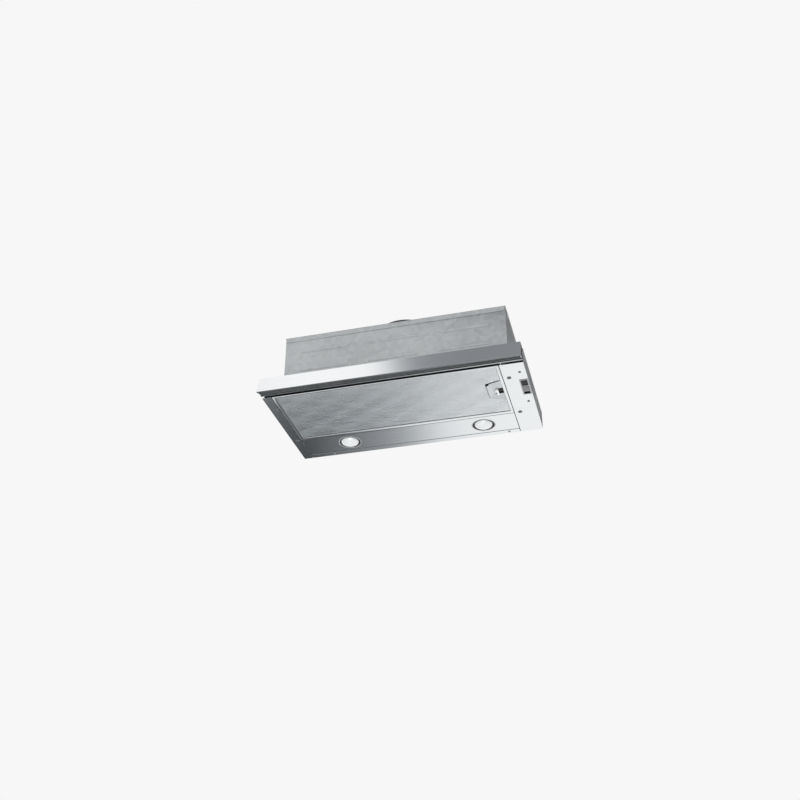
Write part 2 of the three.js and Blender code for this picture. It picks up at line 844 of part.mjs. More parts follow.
function buildBox() {
  const shell = box(-boxHalf, boxHalf, boxFront, boxRear, boxFoot, lidUnder - seat);
  const flange = box(
    -boxHalf - boxFlange, boxHalf + boxFlange, boxFront - boxFlange, boxRear, boxFoot, boxFoot + sheet,
  );
  const hollow = box(
    -boxHalf + sheet, boxHalf - sheet, boxFront + sheet, boxRear - sheet, boxFoot - past, boxTop,
  );
  add('motor_box', cut(join(shell, flange), hollow), finish.zinc);

  const throat = throatPlace();
  const lid = box(-boxHalf, boxHalf, boxFront, boxRear, lidUnder, boxTop);
  const mouth = box(
    -throat.halfWidth, throat.halfWidth, throat.y0, throat.y1, lidUnder - past, boxTop + past,
  );
  const glandHole = rod('z', glandRadius + seat, lidUnder - past, boxTop + past, glandX, glandY, 0, medium);
  add('motor_box_lid', cut(lid, mouth, glandHole), finish.zinc);
}

// ---- Scroll: the housing winds out from its tongue to an upright throat ----
function scrollRadius(degrees) {
  return scrollStart + (scrollEnd - scrollStart) * (degrees / scrollSweep);
}

function scrollPoint(degrees, inset) {
  const radius = scrollRadius(degrees) - inset;
  const angle = -THREE.MathUtils.degToRad(degrees);
  return [scrollY + radius * Math.cos(angle), scrollZ + radius * Math.sin(angle)];
}

function scrollOutline(inset, top) {
  const points = [];
  for (let i = 0; i <= scrollSteps; i += 1) {
    points.push(scrollPoint((i / scrollSteps) * scrollSweep, inset));
  }
  const tongue = points[points.length - 1];
  return [...points, [tongue[0], top], [points[0][0], top]];
}

function throatPlace() {
  const start = scrollPoint(0, scrollWall);
  const tongue = scrollPoint(scrollSweep, scrollWall);
  return { halfWidth: scrollHalf - scrollWall, y0: tongue[0], y1: start[0] };
}

function buildBlower() {
  const top = lidUnder - seat;
  const innerHalf = scrollHalf - scrollWall;
  const outside = prism('x', scrollOutline(0, top), -scrollHalf, scrollHalf);
  const inside = prism('x', scrollOutline(scrollWall, top + past), -innerHalf, innerHalf);
  const inlets = rod('x', inletRadius, -scrollHalf - past, scrollHalf + past, 0, scrollY, scrollZ, fine);
  add('blower_scroll', cut(outside, inside, inlets), finish.black);
  add('impeller', impeller(), finish.zinc);

  const motorEnd = -scrollHalf - motorGap;
  const motorStart = motorEnd - motorLength;
  const shoulder = motorRadius - motorShoulder;
  const can = turned('x', [
    [0, motorStart],
    [shoulder, motorStart],
    [motorRadius, motorStart + motorShoulder],
    [motorRadius, motorEnd - motorShoulder],
    [shoulder, motorEnd],
    [0, motorEnd],
  ], 0, scrollY, scrollZ, fine);
  const boreEnd = motorEnd - motorBore;
  const bore = rod('x', shaftRadius + seat, boreEnd, motorEnd + past, 0, scrollY, scrollZ, coarse);
  add('motor', cut(can, bore), finish.zinc);
  const shaft = rod('x', shaftRadius, boreEnd + seat, hubLength / 2, 0, scrollY, scrollZ, coarse);
  add('motor_shaft', shaft, finish.bright);
  add('motor_bracket', motorBracket(motorEnd), finish.zinc);
}

// A band round the motor with legs that end in feet on the scroll's side.
function motorBracket(motorEnd) {
  const face = -scrollHalf - seat;
  const inner = motorRadius + seat;
  const outer = inner + bracketRing;
  const band1 = motorEnd - bracketSetback;
  const band0 = band1 - bracketBand;
  const parts = [ring('x', inner, outer, band0, band1, 0, scrollY, scrollZ, fine)];
  for (let leg = 0; leg < bracketLegs; leg += 1) {
    const angle = (leg / bracketLegs) * 2 * Math.PI + Math.PI / 2;
    const reach = new THREE.BoxGeometry(face - band0, legWidth, legThickness);
    reach.translate((face + band0) / 2, 0, outer);
    const foot = new THREE.BoxGeometry(footThickness, legWidth, footHeight);
    foot.translate(face - footThickness / 2, 0, outer + footHeight / 2 - legThickness / 2);
    for (const piece of [reach, foot]) {
      piece.rotateX(angle);
      piece.translate(0, scrollY, scrollZ);
      parts.push(solid(piece));
    }
  }
  return join(...parts);
}

// Double-inlet wheel: a middle disc, two end rings and a cage of forward-curved blades.
function impeller() {
  const half = wheelWidth / 2;
  const bladeMid = wheelRadius - bladeDepth / 2;
  const bore = shaftRadius + seat;
  const disc = ring('x', bore, wheelRadius, -wheelRing / 2, wheelRing / 2, 0, 0, 0, fine);
  const hub = ring('x', bore, hubRadius, -hubLength / 2, hubLength / 2, 0, 0, 0, medium);
  const ends = [-half, half - wheelRing].map((x) => ring(
    'x', wheelRadius - bladeDepth, wheelRadius, x, x + wheelRing, 0, 0, 0, fine,
  ));
  const blades = [];
  for (let i = 0; i < bladeCount; i += 1) {
    const blade = new THREE.BoxGeometry(wheelWidth - wheelRing, bladeDepth - bladeThickness, bladeThickness);
    blade.rotateX(THREE.MathUtils.degToRad(bladeTilt));
    blade.translate(0, bladeMid, 0);
    blade.rotateX((i / bladeCount) * 2 * Math.PI);
    blades.push(solid(blade));
  }
  return join(disc, hub, ...ends, ...blades).translate([0, scrollY, scrollZ]);
}

// ---- Outlet collar with two flaps on one pin ----
function buildOutlet() {
  const throat = throatPlace();
  const y = (throat.y0 + throat.y1) / 2;
  const base = boxTop + seat;
  const inner = collarRadius - collarWall;
  const ledge0 = base + ledgeLift;
  const ledge1 = ledge0 + ledgeThickness;
  const pinZ = ledge1 + seat + flapThickness / 2;
  const brim = collarRadius + collarFlangeWidth;
  const pipe = ring('z', inner, collarRadius, base, base + collarHeight, 0, y, 0, fine);
  const flange = ring('z', inner, brim, base, base + collarFlangeThickness, 0, y, 0, fine);
  const ledge = ring('z', inner - ledgeWidth, inner + collarWall / 2, ledge0, ledge1, 0, y, 0, fine);
  const pinHalf = inner - seat;
  const pinBed = rod('x', flapPinRadius + seat, -inner, inner, 0, y, pinZ, coarse);
  add('outlet_collar', cut(join(pipe, flange, ledge), pinBed), finish.black);

  add('damper_pin', rod('x', flapPinRadius, -pinHalf, pinHalf, 0, y, pinZ, coarse), finish.bright);
  add('damper_flap_front', flap(-1, inner - flapGap, y, pinZ), finish.black);
  add('damper_flap_rear', flap(1, inner - flapGap, y, pinZ), finish.black);
}

// Half a disc whose straight edge lies beside the pin.
function flap(side, radius, y, pinZ) {
  const start = Math.asin((flapPinRadius + seat) / radius);
  const outline = [];
  for (let i = 0; i <= flapSteps; i += 1) {
    const angle = start + (i / flapSteps) * (Math.PI - 2 * start);
    outline.push([radius * Math.cos(angle), y + side * radius * Math.sin(angle)]);
  }
  if (side < 0) outline.reverse();
  return prism('z', outline, pinZ - flapThickness / 2, pinZ + flapThickness / 2);
}

// ---- Electrics ----
function buildElectrics() {
  const t = terminalSize;
  const terminalTop = lidUnder - seat;
  const terminal = box(
    wallX - t.x, wallX, glandY - t.y / 2, glandY + t.y / 2, terminalTop - t.z, terminalTop,
  );
  const leadHole = rod(
    'z', glandBore, terminalTop - leadHoleDepth, terminalTop + past, glandX, glandY, 0, coarse,
  );
  add('terminal_box', cut(terminal, leadHole), finish.white);

  const shoulder = boxTop + seat;
  const gland = turned('z', [
    [glandBore, lidUnder],
    [glandRadius, lidUnder],
    [glandRadius, shoulder],
    [glandRadius + glandCollar, shoulder],
    [glandRadius + glandCollar, shoulder + glandNut],
    [glandRadius, shoulder + glandNut],
    [glandRadius - glandTaper, shoulder + glandHeight],
    [glandBore, shoulder + glandHeight],
    [glandBore, lidUnder],
  ], glandX, glandY, 0, medium);
  add('cable_gland', gland, finish.black);

  const s = transformerSize;
  const y0 = boxFront + sheet + transformerFrontGap;
  const z0 = boxFoot + transformerLift;
  const core = box(wallX - s.x, wallX, y0, y0 + s.y, z0, z0 + s.z);
  const winding = box(
    wallX - s.x - windingStandOut, wallX - windingStandOut,
    y0 + windingInset, y0 + s.y - windingInset, z0 + windingStandOut, z0 + s.z + windingStandOut,
  );
  add('transformer', join(core, winding), finish.paint);

  const capX = -wallX + capacitorRadius;
  const capY = boxFront + sheet + capacitorFrontGap;
  const can = rod('y', capacitorRadius, capY, capY + capacitorLength, capX, 0, scrollZ, coarse);
  add('capacitor', can, finish.white);

  const microX = -halfWidth + microInset;
  const m = microSize;
  const p = microPlunger;
  const microTop = topUnder - seat;
  const microY = drawerRear + seat + p.reach;
  const body = box(microX, microX + m.x, microY, microY + m.y, microTop - m.z, microTop);
  const middle = microX + m.x / 2;
  const plunger = box(
    middle - p.width / 2, middle + p.width / 2, drawerRear + seat, microY + past,
    microTop - m.z + p.low, microTop - p.high,
  );
  add('microswitch', join(body, plunger), finish.black);
}

// ---- Steel angles on the box's ends, screwed to the cabinet's sides ----
function buildBrackets() {
  const y = (boxFront + boxRear) / 2;
  const y0 = y - bracketLength / 2;
  const y1 = y + bracketLength / 2;
  const low = boxFoot + sheet + bracketLift;
  const face = boxHalf + seat;
  for (const [side, sign] of [['left', -1], ['right', 1]]) {
    const span = (a, b) => [Math.min(sign * a, sign * b), Math.max(sign * a, sign * b)];
    const [a0, a1] = span(face, face + bracketThickness);
    const [b0, b1] = span(face, face + bracketFoot);
    const upright = box(a0, a1, y0, y1, low, low + bracketHeight);
    const arm = box(b0, b1, y0, y1, low, low + bracketThickness);
    const holeX = sign * (face + bracketFoot - bracketHoleEdge);
    const holes = [-1, 1].map((end) => rod(
      'z', bracketHoleRadius, low - past, low + bracketThickness + past,
      holeX, y + (end * bracketHoleSpacing) / 2, 0, coarse,
    ));
    add(`side_bracket_${side}`, cut(join(upright, arm), ...holes), finish.zinc);
  }
}

buildCase();
buildStrips();
buildLamps();
buildSwitch();
buildFilter();
buildFascia();
buildDrawer();
buildRunners();
buildBox();
buildBlower();
buildOutlet();
buildElectrics();
buildBrackets();

export default hood;
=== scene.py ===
"""Pull-out range hood for a 600 mm wall cabinet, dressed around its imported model. Metres, +Z up."""
import json
from math import cos, pi, radians, sin

import bmesh
import bpy
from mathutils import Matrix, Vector

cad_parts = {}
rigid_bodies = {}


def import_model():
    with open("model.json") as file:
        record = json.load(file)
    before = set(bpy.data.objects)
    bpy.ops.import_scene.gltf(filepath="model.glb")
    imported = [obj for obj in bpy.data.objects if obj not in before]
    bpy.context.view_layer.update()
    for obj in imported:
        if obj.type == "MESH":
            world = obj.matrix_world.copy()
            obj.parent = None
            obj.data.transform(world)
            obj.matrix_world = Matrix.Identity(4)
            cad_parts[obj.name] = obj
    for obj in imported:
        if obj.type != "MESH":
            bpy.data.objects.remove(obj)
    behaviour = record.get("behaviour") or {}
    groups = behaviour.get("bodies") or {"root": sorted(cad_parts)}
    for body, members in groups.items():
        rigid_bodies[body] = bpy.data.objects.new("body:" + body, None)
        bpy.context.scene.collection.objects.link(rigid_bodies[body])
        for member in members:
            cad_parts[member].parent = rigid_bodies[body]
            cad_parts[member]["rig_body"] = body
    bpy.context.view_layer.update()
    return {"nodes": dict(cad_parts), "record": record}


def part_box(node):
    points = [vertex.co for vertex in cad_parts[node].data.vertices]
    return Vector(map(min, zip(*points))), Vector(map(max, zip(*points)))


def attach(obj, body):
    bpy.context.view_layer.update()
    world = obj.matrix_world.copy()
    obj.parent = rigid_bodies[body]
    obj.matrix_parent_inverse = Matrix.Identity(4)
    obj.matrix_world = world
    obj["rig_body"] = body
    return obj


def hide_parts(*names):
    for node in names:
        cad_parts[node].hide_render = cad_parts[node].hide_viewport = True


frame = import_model()
mm = 0.001

# ---- Camera ----
# The hood is looked at from below and from its right, about two and a half metres away, through a
# lens a little longer than normal.
def placed(name, data):
    thing = bpy.data.objects.new(name, data)
    bpy.context.scene.collection.objects.link(thing)
    return thing


camera_tilt, camera_turn = 90 + 31.30, 14.71
camera = placed("camera", bpy.data.cameras.new("camera"))
camera.location = (0.5389, -2.2480, -1.3282)
camera.rotation_euler = (radians(camera_tilt), 0, radians(camera_turn))
camera.data.sensor_width = 36
camera.data.lens = 48.85
bpy.context.scene.camera = camera
bpy.context.scene.view_settings.view_transform = "Standard"


# ---- Studio ----
# A pale room: an even dome for the matt surfaces. The polished ones also see a corner low behind
# the hood that darkens to the left, a long bright panel overhead on the left, and a dark far right.
def plug(tree, target, sockets):
    """Links each of a node's sockets, or gives it a value."""
    for name, value in sockets.items():
        if isinstance(value, bpy.types.NodeSocket):
            tree.links.new(value, target.inputs[name])
        else:
            target.inputs[name].default_value = value


def shaded(tree, sockets):
    plug(tree, tree.nodes["Principled BSDF"], sockets)


def node(tree, kind, sockets=None, **settings):
    fresh = tree.nodes.new(kind)
    for name, value in settings.items():
        setattr(fresh, name, value)
    plug(tree, fresh, sockets or {})
    return fresh


def result(tree, kind, sockets=None, **settings):
    return node(tree, kind, sockets, **settings).outputs[0]


def maths(tree, operation, first, second=0.0):
    return result(tree, "ShaderNodeMath", {0: first, 1: second}, operation=operation)


def eased(tree, value, start, end):
    sockets = {"Value": value, "From Min": start, "From Max": end}
    return result(tree, "ShaderNodeMapRange", sockets, interpolation_type="SMOOTHSTEP")


def within(tree, *edges):
    """How far a direction lies inside a region: each edge is a value, where it starts and ends."""
    share = eased(tree, *edges[0])
    for edge in edges[1:]:
        share = maths(tree, "MULTIPLY", share, eased(tree, *edge))
    return share


coolness = 0.06


def graded(tree, value, start, end, stops):
    """A grey, cooler where it is dark, that runs through stops: a place and a brightness each."""
    along = result(tree, "ShaderNodeMapRange", {"Value": value, "From Min": start, "From Max": end})
    ramp = node(tree, "ShaderNodeValToRGB", {"Fac": along})
    elements = ramp.color_ramp.elements
    while len(elements) < len(stops):
        elements.new(1)
    for element, (position, grey) in zip(elements, stops):
        element.position = (position - start) / (end - start)
        cool = coolness * (1 - min(grey, 1))
        element.color = (grey * (1 - cool), grey, grey * (1 + cool), 1)
    return ramp.outputs["Color"]


def mixed_colour(tree, share, first, second):
    mix = node(tree, "ShaderNodeMix", {0: share, 6: first, 7: second}, data_type="RGBA")
    return mix.outputs[2]


def plain_grey(brightness):
    return (brightness, brightness, brightness, 1)


background_grey, dome_light, room_grey, panel_light = 0.93, 0.86, 0.72, 1.12
far_right_grey = (0.05, 0.05, 0.055, 1)
west_end, east_end = -0.7, 0.1
world = bpy.data.worlds.new("studio")
world.use_nodes = True
bpy.context.scene.world = world
sky = world.node_tree
sky.nodes.clear()
towards = node(sky, "ShaderNodeTexCoord").outputs["Generated"]
east, north, high = node(sky, "ShaderNodeSeparateXYZ", {0: towards}).outputs
low_behind = within(sky, (north, 0.1, 0.45), (high, -0.05, -0.3))
overhead = within(sky, (north, 0.1, -0.15), (high, 0.65, 0.8))
far_right = within(sky, (north, 0.45, 0.7), (high, 0.1, 0.3), (east, 0.0, 0.12))
dark_corner = graded(sky, east, west_end, east_end, [
    (-0.65, 0.5), (-0.36, 0.22), (-0.33, 0.14), (-0.305, 0.06), (-0.290, 0.13), (-0.248, 0.26),
    (-0.230, 0.34), (-0.2125, 0.48), (-0.195, 0.70), (-0.177, 0.90), (-0.155, 0.98),
    (-0.10, 1.04), (0.05, 0.95),
])
long_panel = graded(sky, east, west_end, east_end, [
    (-0.65, 0.7), (-0.36, 0.90), (-0.31, 0.98), (-0.240, 0.98), (-0.2232, 0.72), (-0.215, 0.50),
    (-0.208, 0.38), (-0.199, 0.31), (-0.188, 0.27), (-0.150, 0.24), (-0.10, 0.25), (0.05, 0.4),
])
lit = {0: long_panel, "Scale": panel_light}
lit_panel = result(sky, "ShaderNodeVectorMath", lit, operation="SCALE")
room = mixed_colour(sky, low_behind, plain_grey(room_grey), dark_corner)
mirrored = mixed_colour(sky, overhead, room, lit_panel)
mirrored = mixed_colour(sky, far_right, mirrored, far_right_grey)
ray = node(sky, "ShaderNodeLightPath").outputs
seen, even, glossy = [
    result(sky, "ShaderNodeBackground", {"Color": colour})
    for colour in (plain_grey(background_grey), plain_grey(dome_light), mirrored)
]
soft = result(sky, "ShaderNodeMixShader", {0: ray["Is Glossy Ray"], 1: even, 2: glossy})
whole = result(sky, "ShaderNodeMixShader", {0: ray["Is Camera Ray"], 1: soft, 2: seen})
node(sky, "ShaderNodeOutputWorld", {"Surface": whole})

hood_middle = Vector((0, -0.15, 0))
key = placed("key", bpy.data.lights.new("key", "AREA"))
key.data.size = 2.4
key.data.energy = 22
key.location = (-1.6, -2.2, 2.0)
key.rotation_euler = (hood_middle - key.location).to_track_quat("-Z", "Y").to_euler()
key.visible_camera = False
key.visible_glossy = False

floor_drop, floor_half, floor_cloud, floor_roughness = 1.65, 2.0, 1.5, 0.8
floor_stops = [(0.3, 0.84), (0.7, 0.88)]
floor = placed("floor", bpy.data.meshes.new("floor"))
floor.data.from_pydata([
    (x * floor_half, y * floor_half, -floor_drop) for x, y in ((-1, -1), (1, -1), (1, 1), (-1, 1))
], [], [(0, 1, 2, 3)])
floor_paint = bpy.data.materials.new("pale_floor")
floor_paint.use_nodes = True
floor_tree = floor_paint.node_tree
floor_place = node(floor_tree, "ShaderNodeTexCoord").outputs["Object"]
cloud_sockets = {"Vector": floor_place, "Scale": floor_cloud}
cloud = node(floor_tree, "ShaderNodeTexNoise", cloud_sockets).outputs["Fac"]
floor_colour = graded(floor_tree, cloud, 0, 1, floor_stops)
shaded(floor_tree, {"Base Color": floor_colour, "Roughness": floor_roughness})
floor.data.materials.append(floor_paint)


# ---- Lower case ----
# Four galvanised sheets, sheared and folded, make the tray that the drawer runs in. The zinc has
# a faint crystal pattern, and every cut edge is broken by a fraction of a millimetre.
body_of = {name: item["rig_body"] for name, item in frame["nodes"].items()}
slot_of = {part["node"]: part["material_slot"] for part in frame["record"]["subparts"]}
pattern_low, pattern_high = 0.28, 0.72
flake_share, bloom_scale, bloom_relief, bloom_depth = 0.35, 14, 0.02, 0.3 * mm
weld_reach, same_place, flat, crease = 0.001 * mm, 0.05 * mm, radians(0.2), radians(32)
left_side, right_side, front_side, rear_side = (0, 0), (0, 1), (1, 0), (1, 1)


def surface(name, tones, metallic, roughness):
    """A material whose two tones and whose roughness follow the patterns given to patterned."""
    material = bpy.data.materials.new(name)
    material.use_nodes = True
    tree = material.node_tree
    ramp = node(tree, "ShaderNodeValToRGB", name="tone")
    for stop, position, tone in zip(ramp.color_ramp.elements, (pattern_low, pattern_high), tones):
        stop.position = position
        stop.color = tone + (1,)
    sheen = result(tree, "ShaderNodeMapRange", {
        "From Min": pattern_low, "From Max": pattern_high,
        "To Min": roughness[0], "To Max": roughness[1],
    }, name="sheen")
    colour = ramp.outputs["Color"]
    shaded(tree, {"Metallic": metallic, "Base Color": colour, "Roughness": sheen})
    return material, tree, node(tree, "ShaderNodeTexCoord").outputs["Object"]


def patterned(tree, tone, sheen=None):
    """The colour follows one pattern, and the roughness follows the same one or another."""
    tree.links.new(tone, tree.nodes["tone"].inputs["Fac"])
    tree.links.new(sheen or tone, tree.nodes["sheen"].inputs["Value"])


def noise(tree, place, scale, detail=3):
    sockets = {"Vector": place, "Scale": scale, "Detail": detail}
    return node(tree, "ShaderNodeTexNoise", sockets).outputs["Fac"]


def blended(tree, share, first, second):
    return result(tree, "ShaderNodeMix", {0: share, 2: first, 3: second}, data_type="FLOAT")


def raised(tree, height, strength, distance):
    sockets = {"Height": height, "Strength": strength, "Distance": distance}
    shaded(tree, {"Normal": result(tree, "ShaderNodeBump", sockets)})


def galvanised(name, tones, crystal, roughness, metallic=0.8):
    """Zinc or plating: small flakes of crystal in a soft bloom."""
    material, tree, place = surface(name, tones, metallic, roughness)
    voronoi = node(tree, "ShaderNodeTexVoronoi", {"Vector": place, "Scale": crystal})
    bloom = noise(tree, place, bloom_scale)
    patterned(tree, blended(tree, flake_share, bloom, voronoi.outputs["Color"]))
    raised(tree, bloom, bloom_relief, bloom_depth)
    return material


def settle(piece, edge, body, slot, *stands_for, segments=2):
    """Smooth shading with sharp folds and a bevel, edge mm wide, that breaks them, then the piece's
    body and the nodes that it stands for. The slot is not used."""
    piece.data.polygons.foreach_set("use_smooth", [True] * len(piece.data.polygons))
    piece.data.set_sharp_from_angle(angle=crease)
    if edge:
        edges = piece.modifiers.new("edges", "BEVEL")
        edges.width = edge * mm
        edges.segments = segments
        edges.limit_method = "ANGLE"
        edges.angle_limit = crease
        edges.harden_normals = True
    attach(piece, body)
    if stands_for:
        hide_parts(*stands_for)


def merged(name):
    """The CAD node's mesh with its loose triangles joined into whole faces."""
    joined = bmesh.new()
    joined.from_mesh(frame["nodes"][name].data)
    bmesh.ops.remove_doubles(joined, verts=joined.verts, dist=weld_reach)
    bmesh.ops.dissolve_limit(joined, angle_limit=flat, verts=joined.verts, edges=joined.edges)
    return joined


def made(name, shape, materials, edge, body, slot, *stands_for, segments=2):
    """A finished piece from a bmesh."""
    mesh = bpy.data.meshes.new(name)
    shape.to_mesh(mesh)
    shape.free()
    for material in materials:
        mesh.materials.append(material)
    piece = placed(name, mesh)
    settle(piece, edge, body, slot, *stands_for, segments=segments)
    return piece


def eased_copy(name, *materials, edge=0.3, inset=0, sides=(), moves=(), reach=same_place,
               coat=None, called=None, segments=2):
    """The CAD node's own shape with its edges rounded, standing for it. Its sides are brought in
    by inset, and each item of moves is (axis, place, distance) and moves the edge that lies within
    reach of that place. Where there is more than one material, coat picks a face's from its normal
    and its middle."""
    shape = merged(name)
    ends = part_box(name)
    moves = [*moves, *((axis, ends[end][axis], (1 - 2 * end) * inset) for axis, end in sides)]
    for vertex in shape.verts:
        for axis, place, distance in moves:
            if abs(vertex.co[axis] - place) < reach:
                vertex.co[axis] += distance
    if coat:
        shape.normal_update()
        for face in shape.faces:
            face.material_index = materials.index(coat(face.normal, face.calc_center_median()))
    made(called or name + "_finished", shape, materials, edge, body_of[name], slot_of[name], name,
         segments=segments)


zinc = galvanised("galvanised_sheet", [(0.47, 0.49, 0.50), (0.60, 0.62, 0.63)], 95, (0.32, 0.46))
case_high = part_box("case_top")[1]
wall_set_back, wall_edge = 0.6 * mm, 0.15
eased_copy("case_top", zinc)
for wall, side in (("side_left", left_side), ("side_right", right_side), ("rear", rear_side)):
    eased_copy(f"case_{wall}", zinc, edge=wall_edge, inset=wall_set_back, sides=[side])


# ---- Rivets and beads of the case ----
# Aluminium rivets hold the case's corners and the outer runners to its sides, each a low dome with
# the stub of its mandrel in the middle. Beads pressed out of the walls stiffen them.
def geometry_tree(name, *sizes):
    """A geometry tree whose named inputs are sizes, and its input node's sockets."""
    tree = bpy.data.node_groups.new(name, "GeometryNodeTree")
    inputs = [("Points", "Geometry"), *((size, "Float") for size in sizes), ("Finish", "Material")]
    for socket, kind in inputs:
        tree.interface.new_socket(socket, in_out="INPUT", socket_type="NodeSocket" + kind)
    tree.interface.new_socket("Mesh", in_out="OUTPUT", socket_type="NodeSocketGeometry")
    return tree, node(tree, "NodeGroupInput").outputs


def geometry(tree, kind, sockets=None, **settings):
    return result(tree, "GeometryNode" + kind, sockets, **settings)


def realized(tree, shape):
    return geometry(tree, "RealizeInstances", {0: shape})


def closed_tree(tree, inputs, shape):
    sockets = {"Geometry": realized(tree, shape), "Material": inputs["Finish"]}
    node(tree, "NodeGroupOutput", {0: geometry(tree, "SetMaterial", sockets)})
    return tree


def vector(tree, x=0.0, y=0.0, z=0.0):
    return result(tree, "ShaderNodeCombineXYZ", {0: x, 1: y, 2: z})


def moved(tree, shape, **sockets):
    return geometry(tree, "Transform", {"Geometry": shape, **sockets})


def copied(tree, points, shape, **sockets):
    sockets = {"Points": points, "Instance": shape, **sockets}
    return geometry(tree, "InstanceOnPoints", sockets)


def together(tree, shapes):
    join = node(tree, "GeometryNodeJoinGeometry")
    for shape in shapes:
        tree.links.new(shape, join.inputs[0])
    return join.outputs[0]


def hull(tree, shapes):
    return geometry(tree, "ConvexHull", {0: together(tree, shapes)})


def on_seats(tree, inputs, shape, axis="Z"):
    """One copy of the shape on each point, its axis turned the way that the point faces."""
    facing = geometry(tree, "InputNamedAttribute", {"Name": "facing"},
                    data_type="FLOAT_VECTOR")
    turned = result(tree, "FunctionNodeAlignRotationToVector", {"Vector": facing}, axis=axis)
    return closed_tree(tree, inputs, copied(tree, inputs["Points"], shape, Rotation=turned))


def grown(name, tree, points, finish, sizes, body, slot, *stands_for):
    """A finished piece: the plain mesh that a geometry tree makes on the points at these sizes."""
    seed = bpy.data.meshes.new(name + "_points")
    seed.from_pydata([place for place, facing in points], [], [])
    facings = seed.attributes.new("facing", "FLOAT_VECTOR", "POINT")
    facings.data.foreach_set("vector", [value for place, facing in points for value in facing])
    grower = placed(name + "_grower", seed)
    modifier = grower.modifiers.new("grow", "NODES")
    modifier.node_group = tree
    values = {**sizes, "Finish": finish}
    for item in tree.interface.items_tree:
        if item.in_out == "INPUT" and item.name in values:
            modifier[item.identifier] = values[item.name]
    grower.update_tag()
    drawn = grower.evaluated_get(bpy.context.evaluated_depsgraph_get())
    mesh = bpy.data.meshes.new_from_object(drawn)
    bpy.data.objects.remove(grower)
    settle(placed(name, mesh), 0, body, slot, *stands_for)


def dome_head(tree, radius, height, segments):
    """A flattened ball whose lower half sinks into its seat."""
    ball = geometry(tree, "MeshUVSphere", {
        "Segments": segments, "Rings": segments // 2, "Radius": radius,
    })
    squash = vector(tree, 1.0, 1.0, maths(tree, "DIVIDE", height, radius))
    return moved(tree, ball, Scale=squash)


def rivet_tree():
    """A dome with the stub of the mandrel standing out of its middle."""
    tree, sizes = geometry_tree("rivets", "Head radius", "Head height", "Mandrel radius")
    rise = maths(tree, "MULTIPLY", sizes["Head height"], 0.8)
    head = dome_head(tree, sizes["Head radius"], rise, 24)
    stub = dome_head(tree, sizes["Mandrel radius"], sizes["Head height"], 12)
    return on_seats(tree, sizes, together(tree, [head, stub]))


def bead_tree():
    """Half-round beads pressed out of a wall, each the hull of two flattened balls."""
    tree, sizes = geometry_tree("pressed_beads", "Length", "Half width", "Rise")
    ball = dome_head(tree, sizes["Half width"], sizes["Rise"], 32)
    ends = [vector(tree, x=maths(tree, "MULTIPLY", sizes["Length"], end)) for end in (-0.5, 0.5)]
    return on_seats(tree, sizes, hull(tree, [moved(tree, ball, Translation=end) for end in ends]))


def bead_size(length, half_width, rise):
    return {"Length": length * mm, "Half width": half_width * mm, "Rise": rise * mm}


def in_mm(*values):
    return [value * mm for value in values]


def seats(facing, xs, ys, zs):
    """A seat at each crossing of the places along the three axes, with the way that it faces."""
    return [((x, y, z), facing) for x in xs for y in ys for z in zs]


rivets, beads = rivet_tree(), bead_tree()
plated = galvanised("plated_steel", [(0.70, 0.71, 0.72), (0.78, 0.79, 0.80)], 300, (0.14, 0.24), 1)
left, right, forward, back = (-1, 0, 0), (1, 0, 0), (0, -1, 0), (0, 1, 0)
up, down = (0, 0, 1), (0, 0, -1)
both_sides = ((-1, left), (1, right))
side_x, rear_y = case_high.x - wall_set_back, case_high.y - wall_set_back
runner_z, wall_z = in_mm(-19, -22)
runner_rivet_y = in_mm(-262, -148, -30)
corner_rivet_y, corner_rivet_z = in_mm(-272, 2), in_mm(-8, -36)
rear_rivet_x, rear_rivet_z = in_mm(-290, 290), in_mm(-10, -35)
rear_bead_x, side_bead_y = in_mm(-190, 0, 190), in_mm(-205, -90)
rivet_size = {"Head radius": 2.9 * mm, "Head height": 0.58 * mm, "Mandrel radius": 1 * mm}
case_rivets, side_beads = [], []
for hand, facing in both_sides:
    case_rivets += seats(facing, [hand * side_x], runner_rivet_y, [runner_z])
    case_rivets += seats(facing, [hand * side_x], corner_rivet_y, corner_rivet_z)
    side_beads += seats(facing, [hand * side_x], side_bead_y, [wall_z])
case_rivets += seats(back, rear_rivet_x, [rear_y], rear_rivet_z)
rear_beads = seats(back, rear_bead_x, [rear_y], [wall_z])
grown("case_rivets", rivets, case_rivets, plated, rivet_size, "hood", "bright")
grown("case_rear_beads", beads, rear_beads, zinc, bead_size(140, 4, 0.58), "hood", "zinc")
grown("case_side_beads", beads, side_beads, zinc, bead_size(22, 3, 0.58), "hood", "zinc")


# ---- Blower box ----
# A folded galvanised box with an outward foot flange, screwed down through it. Beads stiffen its
# walls, its ends lap round the rear wall, and the lid's four flaps are folded down over the walls.
box_low, box_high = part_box("motor_box")
lid_low, lid_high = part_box("motor_box_lid")
flange_width, flange_sheet, wall_sheet = in_mm(10, 1, 0.9)
flange_top = box_low.z + flange_sheet
eased_copy("motor_box", zinc, edge=0.35)
eased_copy("motor_box_lid", zinc, inset=-wall_sheet,
           sides=(left_side, right_side, front_side, rear_side))
for side in ("left", "right"):
    eased_copy(f"side_bracket_{side}", zinc, edge=0.4)


def plates(name, corners, material, edge, body, slot):
    """Flat blanks between pairs of lowest and highest corners, in one piece."""
    shape = bmesh.new()
    for pair in corners:
        for vertex in bmesh.ops.create_cube(shape, size=1)["verts"]:
            vertex.co = [pair[part > 0][axis] for axis, part in enumerate(vertex.co)]
    made(name, shape, [material], edge, body, slot)


